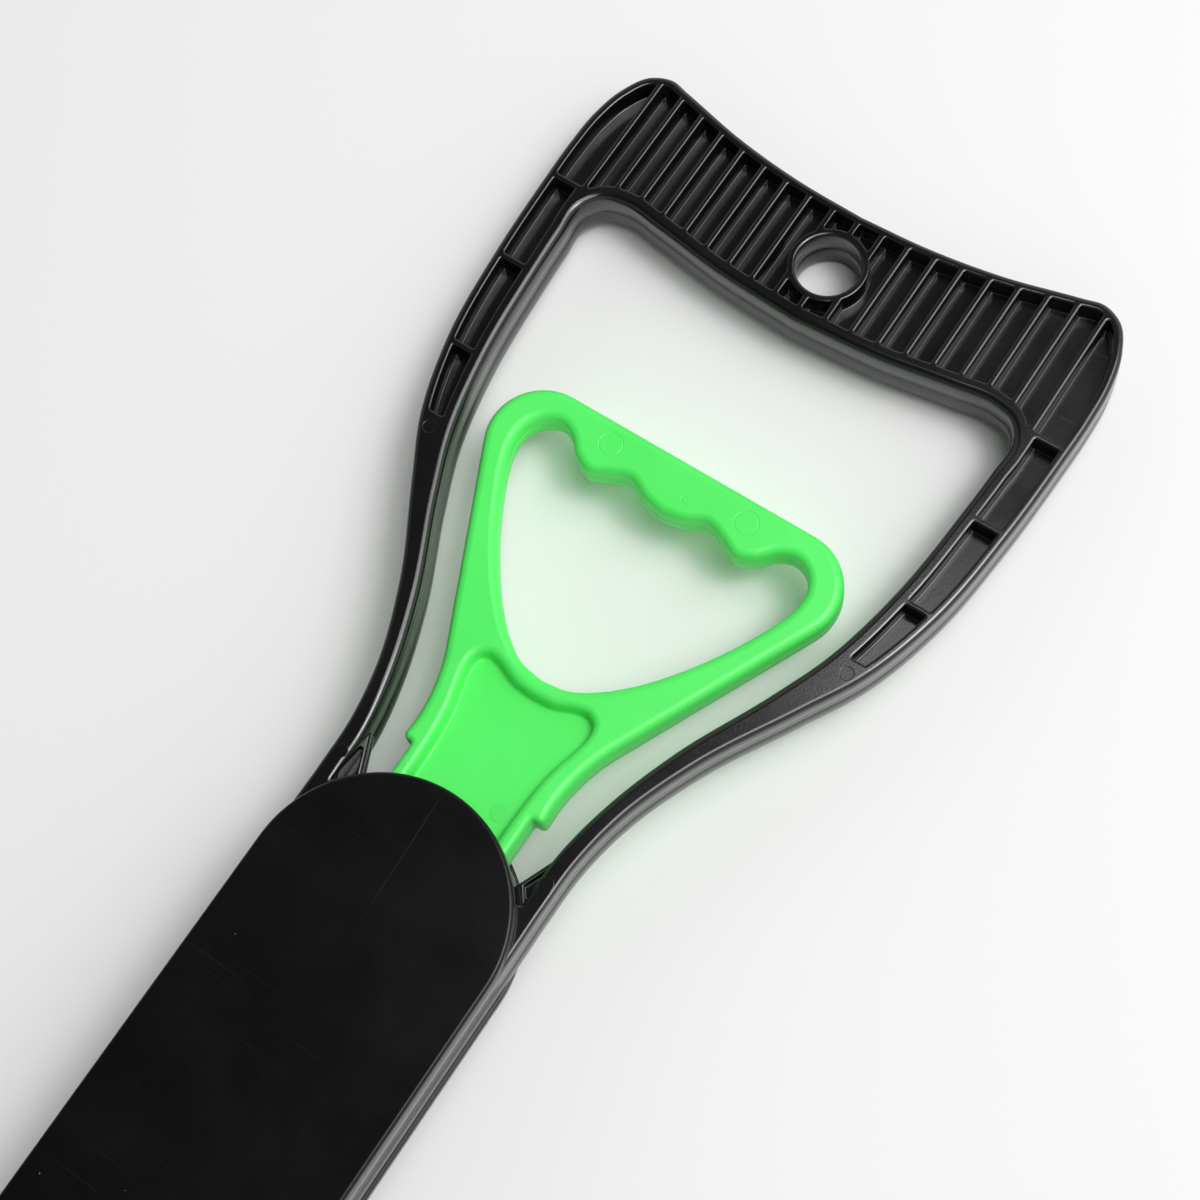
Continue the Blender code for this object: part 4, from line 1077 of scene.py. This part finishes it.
def sector_solid(direction):
    """The right gear sector: eight teeth towards the rack, a hub and a tail in the neck."""
    step = 2 * pi / GEAR_TEETH
    points = []
    for k in range(8):
        points += tooth_points(pi - 1.5 * step + k * step)
    root_r, hub_r, tail_r, tail = PITCH_R - 1.25 * GEAR_MODULE, 15.0, 24.3, radians(24)
    hub_start, hub_end, lean = radians(273), radians(508), radians(3)
    points.append((radians(269.5), root_r))
    to_tail = direction + 2 * pi - tail
    points += [(a, hub_r) for a in evenly(hub_start, to_tail - lean, 12)]
    points += [(a, tail_r) for a in evenly(to_tail, to_tail + 2 * tail, 12)]
    points += [(a, hub_r) for a in evenly(to_tail + 2 * tail + lean, hub_end, 24)]
    points.append((radians(510.5), root_r))
    outline = wound(softened(from_pivot(points), 0.3, 3, radians(35)))
    bore = round_hole((PIVOT_X, PIVOT_Y), BUSH_OUT + 0.15, 48)
    walls = [half_wall(outline, SECTOR_HALF, 0.35, 0.03), half_wall(bore, SECTOR_HALF, 0.35)]
    walls += [half_wall(round_hole(spot, 1.6, 20), SECTOR_HALF, 0.2, 0.0, 2)
              for spot in screw_spots(direction)]
    return loft(walls)


class HandSheet:
    """The cupped palm and fingers of the right hand, closed, around its pivot at (0, 0)."""

    shares = (-1, -0.993, -0.972, -0.94, -0.89, -0.8, -0.66, -0.45, -0.22, 0)

    def __init__(self):
        self.line = smooth_path(HAND_LINE, 0.8)
        self.run = [0.0]
        for a, b in zip(self.line, self.line[1:]):
            self.run.append(self.run[-1] + dist(a, b))
        self.total = self.run[-1]
        self.knuckle = KNUCKLE_SHARE * self.total
        self.web = (PALM_HALF - FINGER_HALF) / 4 - FINGER_HALF     # half the gap at the knuckles
        self.columns = list(self.shares) + [-s for s in reversed(self.shares[:-1])]

    def rows(self):
        """Places along the line, closer together at the knuckles and the fingertips."""
        start, end = self.knuckle, self.total
        near = [start - 2.4, start - 1.2, start - 0.4, start, start + 0.08 * self.web]
        near += [start + self.web * s for s in (0.3, 0.65, 1.0, 1.6)]
        tips = [end - FINGERTIP_HALF * (1 - sin(turn)) for turn in evenly(0, pi / 2, 6)]
        return evenly(0, start, 42)[:-2] + near + evenly(near[-1] + 2.4, tips[0], 36)[:-1] + tips

    def at(self, s):
        """The point and the inward direction at s mm along the line."""
        i = max(0, min(len(self.line) - 2, sum(1 for r in self.run if r <= s) - 1))
        a, b = self.line[i], self.line[i + 1]
        t = (s - self.run[i]) / (self.run[i + 1] - self.run[i])
        back, ahead = self.line[max(i - 2, 0)], self.line[min(i + 3, len(self.line) - 1)]
        inward = Vector((ahead[1] - back[1], back[0] - ahead[0], 0)).normalized()
        return *between(a, b, t), inward

    def point(self, s, finger, share):
        """Front and back points of a finger's column: share runs from -1 to 1 across it."""
        x, y, inward = self.at(s)
        reach = hypot(x, y)
        spread = ease(reach, 42, 112)
        along = max(0.0, (s - self.knuckle) / (self.total - self.knuckle))
        neck = 2 * NECK_HALF_WIDTH
        depth = neck + (PALM_THICKNESS - neck) * ease(reach, 26, 105) - TIP_THINNER * along

        rank = finger - (FINGERS - 1) / 2
        spacing = (PALM_HALF - FINGER_HALF) / 2 * (1 - along) + TIP_HALF / 2 * along
        left_tip = self.total - s
        half = FINGER_HALF + (FINGERTIP_HALF - FINGER_HALF) * along
        half *= quarter(left_tip / FINGERTIP_HALF)
        outermost = rank + (0.5 if share > 0 else -0.5)
        is_border = abs(outermost) > FINGERS / 2 - 0.1
        past = (s - self.knuckle) / self.web
        gap = (spacing / 2 - half) * quarter(past)
        wide = half if is_border else spacing / 2 - gap
        open_z = rank * spacing + share * wide
        squeeze = CHEEK_OUT / PALM_HALF + (1 - CHEEK_OUT / PALM_HALF) * spread

        border = (1 - abs(share)) * wide * squeeze
        if not is_border and past <= 1:
            notch = hypot(max(0.0, self.knuckle + self.web - s), abs(share) * wide - spacing / 2)
            border = max(0.0, notch - self.web) if past > -1 else 9.0
        edge = min(1.6, depth * 0.42)
        thick = depth / 2 - edge + edge * quarter(border / edge)

        ridge = FINGER_RIDGE * spread * (0.5 + 0.5 * cos(pi * share)) * ease(left_tip, 0, 14)
        z = open_z * squeeze
        cup = HAND_CUP * spread * sin(pi * min(1.0, s / self.total))
        middle = Vector((x, y, z)) + inward * cup * (z / PALM_HALF) ** 2
        return middle + inward * (thick - 0.6 * ridge), middle - inward * (thick + ridge)

    def solid(self):
        bm = bmesh.new()
        verts, borders = {}, {}
        rows = self.rows()
        count = len(self.columns)

        def vert(side, i, finger, column):
            if column == count - 1 and finger < FINGERS - 1 and rows[i] <= self.knuckle + 1e-6:
                finger, column = finger + 1, 0
            key = side, i, finger, column
            if key not in verts:
                verts[key] = bm.verts.new(self.point(rows[i], finger, self.columns[column])[side])
            return verts[key]

        for i in range(len(rows) - 1):
            for finger in range(FINGERS):
                for c in range(count - 1):
                    corners = ((i, c), (i, c + 1), (i + 1, c + 1), (i + 1, c))
                    front, back = ([vert(side, row, finger, column) for row, column in corners]
                                   for side in (0, 1))
                    bm.faces.new(front)
                    bm.faces.new(back[::-1])
                    for k in range(4):
                        a, b = front[k], front[(k + 1) % 4]
                        if (b, a) in borders:
                            del borders[b, a]
                        else:
                            borders[a, b] = (back[k], back[(k + 1) % 4])
        for (a, b), (c, d) in borders.items():
            bm.faces.new((b, a, c, d))
        bmesh.ops.remove_doubles(bm, verts=bm.verts, dist=0.002)
        bmesh.ops.dissolve_degenerate(bm, edges=bm.edges, dist=0.002)
        bmesh.ops.recalc_face_normals(bm, faces=bm.faces)
        return bm


def cheek_solid(low, high):
    """A fork cheek of the closed hand, around the pivot at (0, 0)."""
    end = NECK_START + 3
    lean = atan2(NECK_HALF_WIDTH, end)
    meet = pi / 2 - acos(NECK_HALF_WIDTH / HUB_R)
    points = [(lean, end / cos(lean))]
    points += [(angle, HUB_R) for angle in evenly(meet, 2 * pi - meet, 40)]
    points.append((2 * pi - lean, end / cos(lean)))
    loop = [(r * cos(a + NECK_DIRECTION), r * sin(a + NECK_DIRECTION)) for a, r in points]
    outline = wound(softened(loop, 0.8))
    bore = round_hole((0, 0), BUSH_OUT + 0.15)
    return loft([through(outline, low, high, 0.8, 3), through(bore, low, high, 0.4, 3)], seam=False)


def bolt_solid():
    """A pivot bolt with a domed head and a hexagon socket, and a threaded end."""
    centre = (PIVOT_X, PIVOT_Y)
    face = COVER_OUT + 2.4
    rim = wound(circle(centre, 7.2, 48))
    head = stepped(rim, face, ((2.6, 0), (2.5, 0), (1.6, 0.12), (0.9, 0.4), (0.4, 0.85), (0.1, 1.4),
                               (0, 1.8), (0.15, face - COVER_OUT - 0.3)))
    socket = wound(softened(circle(centre, 3, 6), 0.25, 3), False)
    cap = loft([head], [pocket(socket, face, COVER_OUT + 1.0, 0.15, 0.02, 0.1)], seam=False)
    end, start, pitch = -COVER_OUT - 3.8, -COVER_OUT + 1.0, 1.25
    core_r, thread_r = 3.45, 3.95
    profile = [(0, end), (3.0, end), (3.4, end + 0.4)]
    turn = end + 0.4
    while turn + pitch < start:
        profile += [(core_r, turn), (thread_r, turn + pitch / 2)]
        turn += pitch
    profile += [(thread_r, start), (thread_r, COVER_OUT + 0.6), (0, COVER_OUT + 0.6)]
    return joined([cap, lathe(profile, centre, sides=36)])


def nut_solid():
    """A hexagon nut, chamfered where its corners meet its faces."""
    corner_r, bore_r = 7.5, 4.05
    flat_r = corner_r * cos(pi / 6)
    low, high = -COVER_OUT - 4.3, -COVER_OUT - 0.3
    sides = 72
    angles = evenly(0, 2 * pi, sides)[:-1]
    radii = [flat_r / cos((a % (pi / 3)) - pi / 6) for a in angles]

    def ring(distances, drops):
        return [(x, y, high - drop) for (x, y), drop in zip(from_pivot(zip(angles, distances)), drops)]

    def flat_ring(radius, drop=0.0):
        return ring([radius] * sides, [drop] * sides)

    rounded = flat_r * 0.97
    drops = [(r - rounded) * tan(radians(30)) for r in radii]
    hexagon = [min(r, corner_r - 0.12) for r in radii]
    outside = [flat_ring(rounded - 0.1), flat_ring(rounded), ring(hexagon, drops)]
    inside = [flat_ring(bore_r + 0.55), flat_ring(bore_r, 0.5)]
    return loft([twinned(outside, low, high), twinned(inside, low, high)], seam=False)


def make_hand_side(side):
    """Hand, gear sector, bush, sector screws, washers, pivot bolt and nut of one side."""
    body = side + "_hand"
    centre = (PIVOT_X, PIVOT_Y)
    direction = NECK_DIRECTION + SWING
    hand = joined([HandSheet().solid(), cheek_solid(CHEEK_IN, CHEEK_OUT),
                   flipped(cheek_solid(CHEEK_IN, CHEEK_OUT), (0, 0, 1))])
    hand.transform(Matrix.Translation((*centre, 0)) @ Matrix.Rotation(SWING, 4, "Z"))
    bush = collar(BUSH_OUT, BUSH_IN, -CHEEK_OUT, CHEEK_OUT, centre)
    parts = [("hand_" + side, hand, body, "green_plastic"),
             ("gear_sector_" + side, sector_solid(direction), body, "gear_plastic"),
             ("pivot_bush_" + side, bush, body, "steel"),
             ("pivot_bolt_" + side, bolt_solid(), "frame", "steel"),
             ("pivot_nut_" + side, nut_solid(), "frame", "steel")]
    for face, low, high in (("front", WASHER_IN, WASHER_OUT), ("rear", -WASHER_OUT, -WASHER_IN)):
        washer = collar(9.5, BUSH_IN, low, high, centre, sides=48, edge=0.25)
        parts.append(("thrust_washer_" + side + "_" + face, washer, "frame", "steel"))
    for number, spot in enumerate(screw_spots(direction)):
        screw = screw_solid(spot, 8.5, -5.4, *SECTOR_SCREW)
        parts.append(("sector_screw_" + side + "_" + str(number + 1), screw, body, "steel"))
    for name, solid, rides, slot in parts:
        if side == "left":
            flipped(solid, (1, 0, 0))
        piece(name, solid, rides, slot)


# ---------------------------------------------------------------- floor, light and camera
def make_floor():
    """A wide sheet of pale paper, very slightly clouded."""
    bm = bmesh.new()
    bmesh.ops.create_grid(bm, x_segments=8, y_segments=8, size=4.0)
    mesh = mesh_of("floor", bm)
    nodes = new_nodes("floor_paper")
    cloud = nodes.ramp(nodes.noise(1.3, 2.0), 0.3, 0.7)
    shade = nodes.mix(cloud, (0.888, 0.886, 0.884), (0.90, 0.90, 0.90))
    mesh.materials.append(nodes.set(Base_Color=shade, Roughness=0.75))
    floor = placed("floor", mesh)


def make_lamp(name, place, size, power, aim=(0.0, 0.3, 0.0)):
    data = bpy.data.lights.new(name, "AREA")
    data.shape = "RECTANGLE"
    data.size, data.size_y = size
    data.energy = power
    lamp = placed(name, data)
    lamp.location = place
    lamp.rotation_euler = (Vector(aim) - Vector(place)).to_track_quat("-Z", "Y").to_euler()
    lamp.visible_camera = False


def make_light():
    """Two lamps to the upper right, under a sky that is brightest halfway up on their side."""
    world = bpy.data.worlds.new("studio")
    nodes = Nodes(world, "Background", "Generated")
    height = nodes.add("SeparateXYZ", {"Vector": nodes.place}).outputs["Z"]
    sky = nodes.add("ValToRGB", {"Fac": height})
    stops = sky.color_ramp.elements
    while len(stops) < len(SKY):
        stops.new(0.5)
    for stop, (place, bright) in zip(stops, SKY):
        stop.position = place
        stop.color = (bright, bright, bright, 1)
    side = nodes.add("VectorMath", {0: nodes.place, 1: SKY_SIDE}, operation="DOT_PRODUCT")
    slope = nodes.ramp(side.outputs["Value"], -0.7, 0.7, SKY_DIM, 1.0)
    strength = nodes.times(sky.outputs["Color"], slope)
    nodes.set(Strength=strength, Color=(1.0, 0.995, 0.99))
    bpy.context.scene.world = world
    make_lamp("key_light", KEY_PLACE, KEY_SIZE, KEY_POWER)
    make_lamp("spark_light", SPARK_PLACE, SPARK_SIZE, SPARK_POWER)


def make_camera():
    right, forward = Vector(CAMERA_RIGHT), Vector(CAMERA_FORWARD)
    up = right.cross(forward)
    turn = Matrix((right, up, -forward)).transposed()
    data = bpy.data.cameras.new("photo_camera")
    data.lens, data.sensor_width = LENS_MM, SENSOR_MM
    data.clip_start, data.clip_end = 0.01, 50
    camera = placed("photo_camera", data)
    tool_turn = TOOL.to_3x3().normalized()
    camera.matrix_world = Matrix.Translation(TOOL @ Vector(CAMERA_PLACE)) @ (tool_turn @ turn).to_4x4()
    bpy.context.scene.camera = camera


make_frame()
make_cover(True)
make_cover(False)
make_screws()
make_stop()
make_pull_handle()
make_rod_group()
make_return_spring()
make_rack()
for side in ("left", "right"):
    make_hand_side(side)
make_floor()
make_light()
make_camera()
bpy.context.scene.view_settings.view_transform = "Standard"
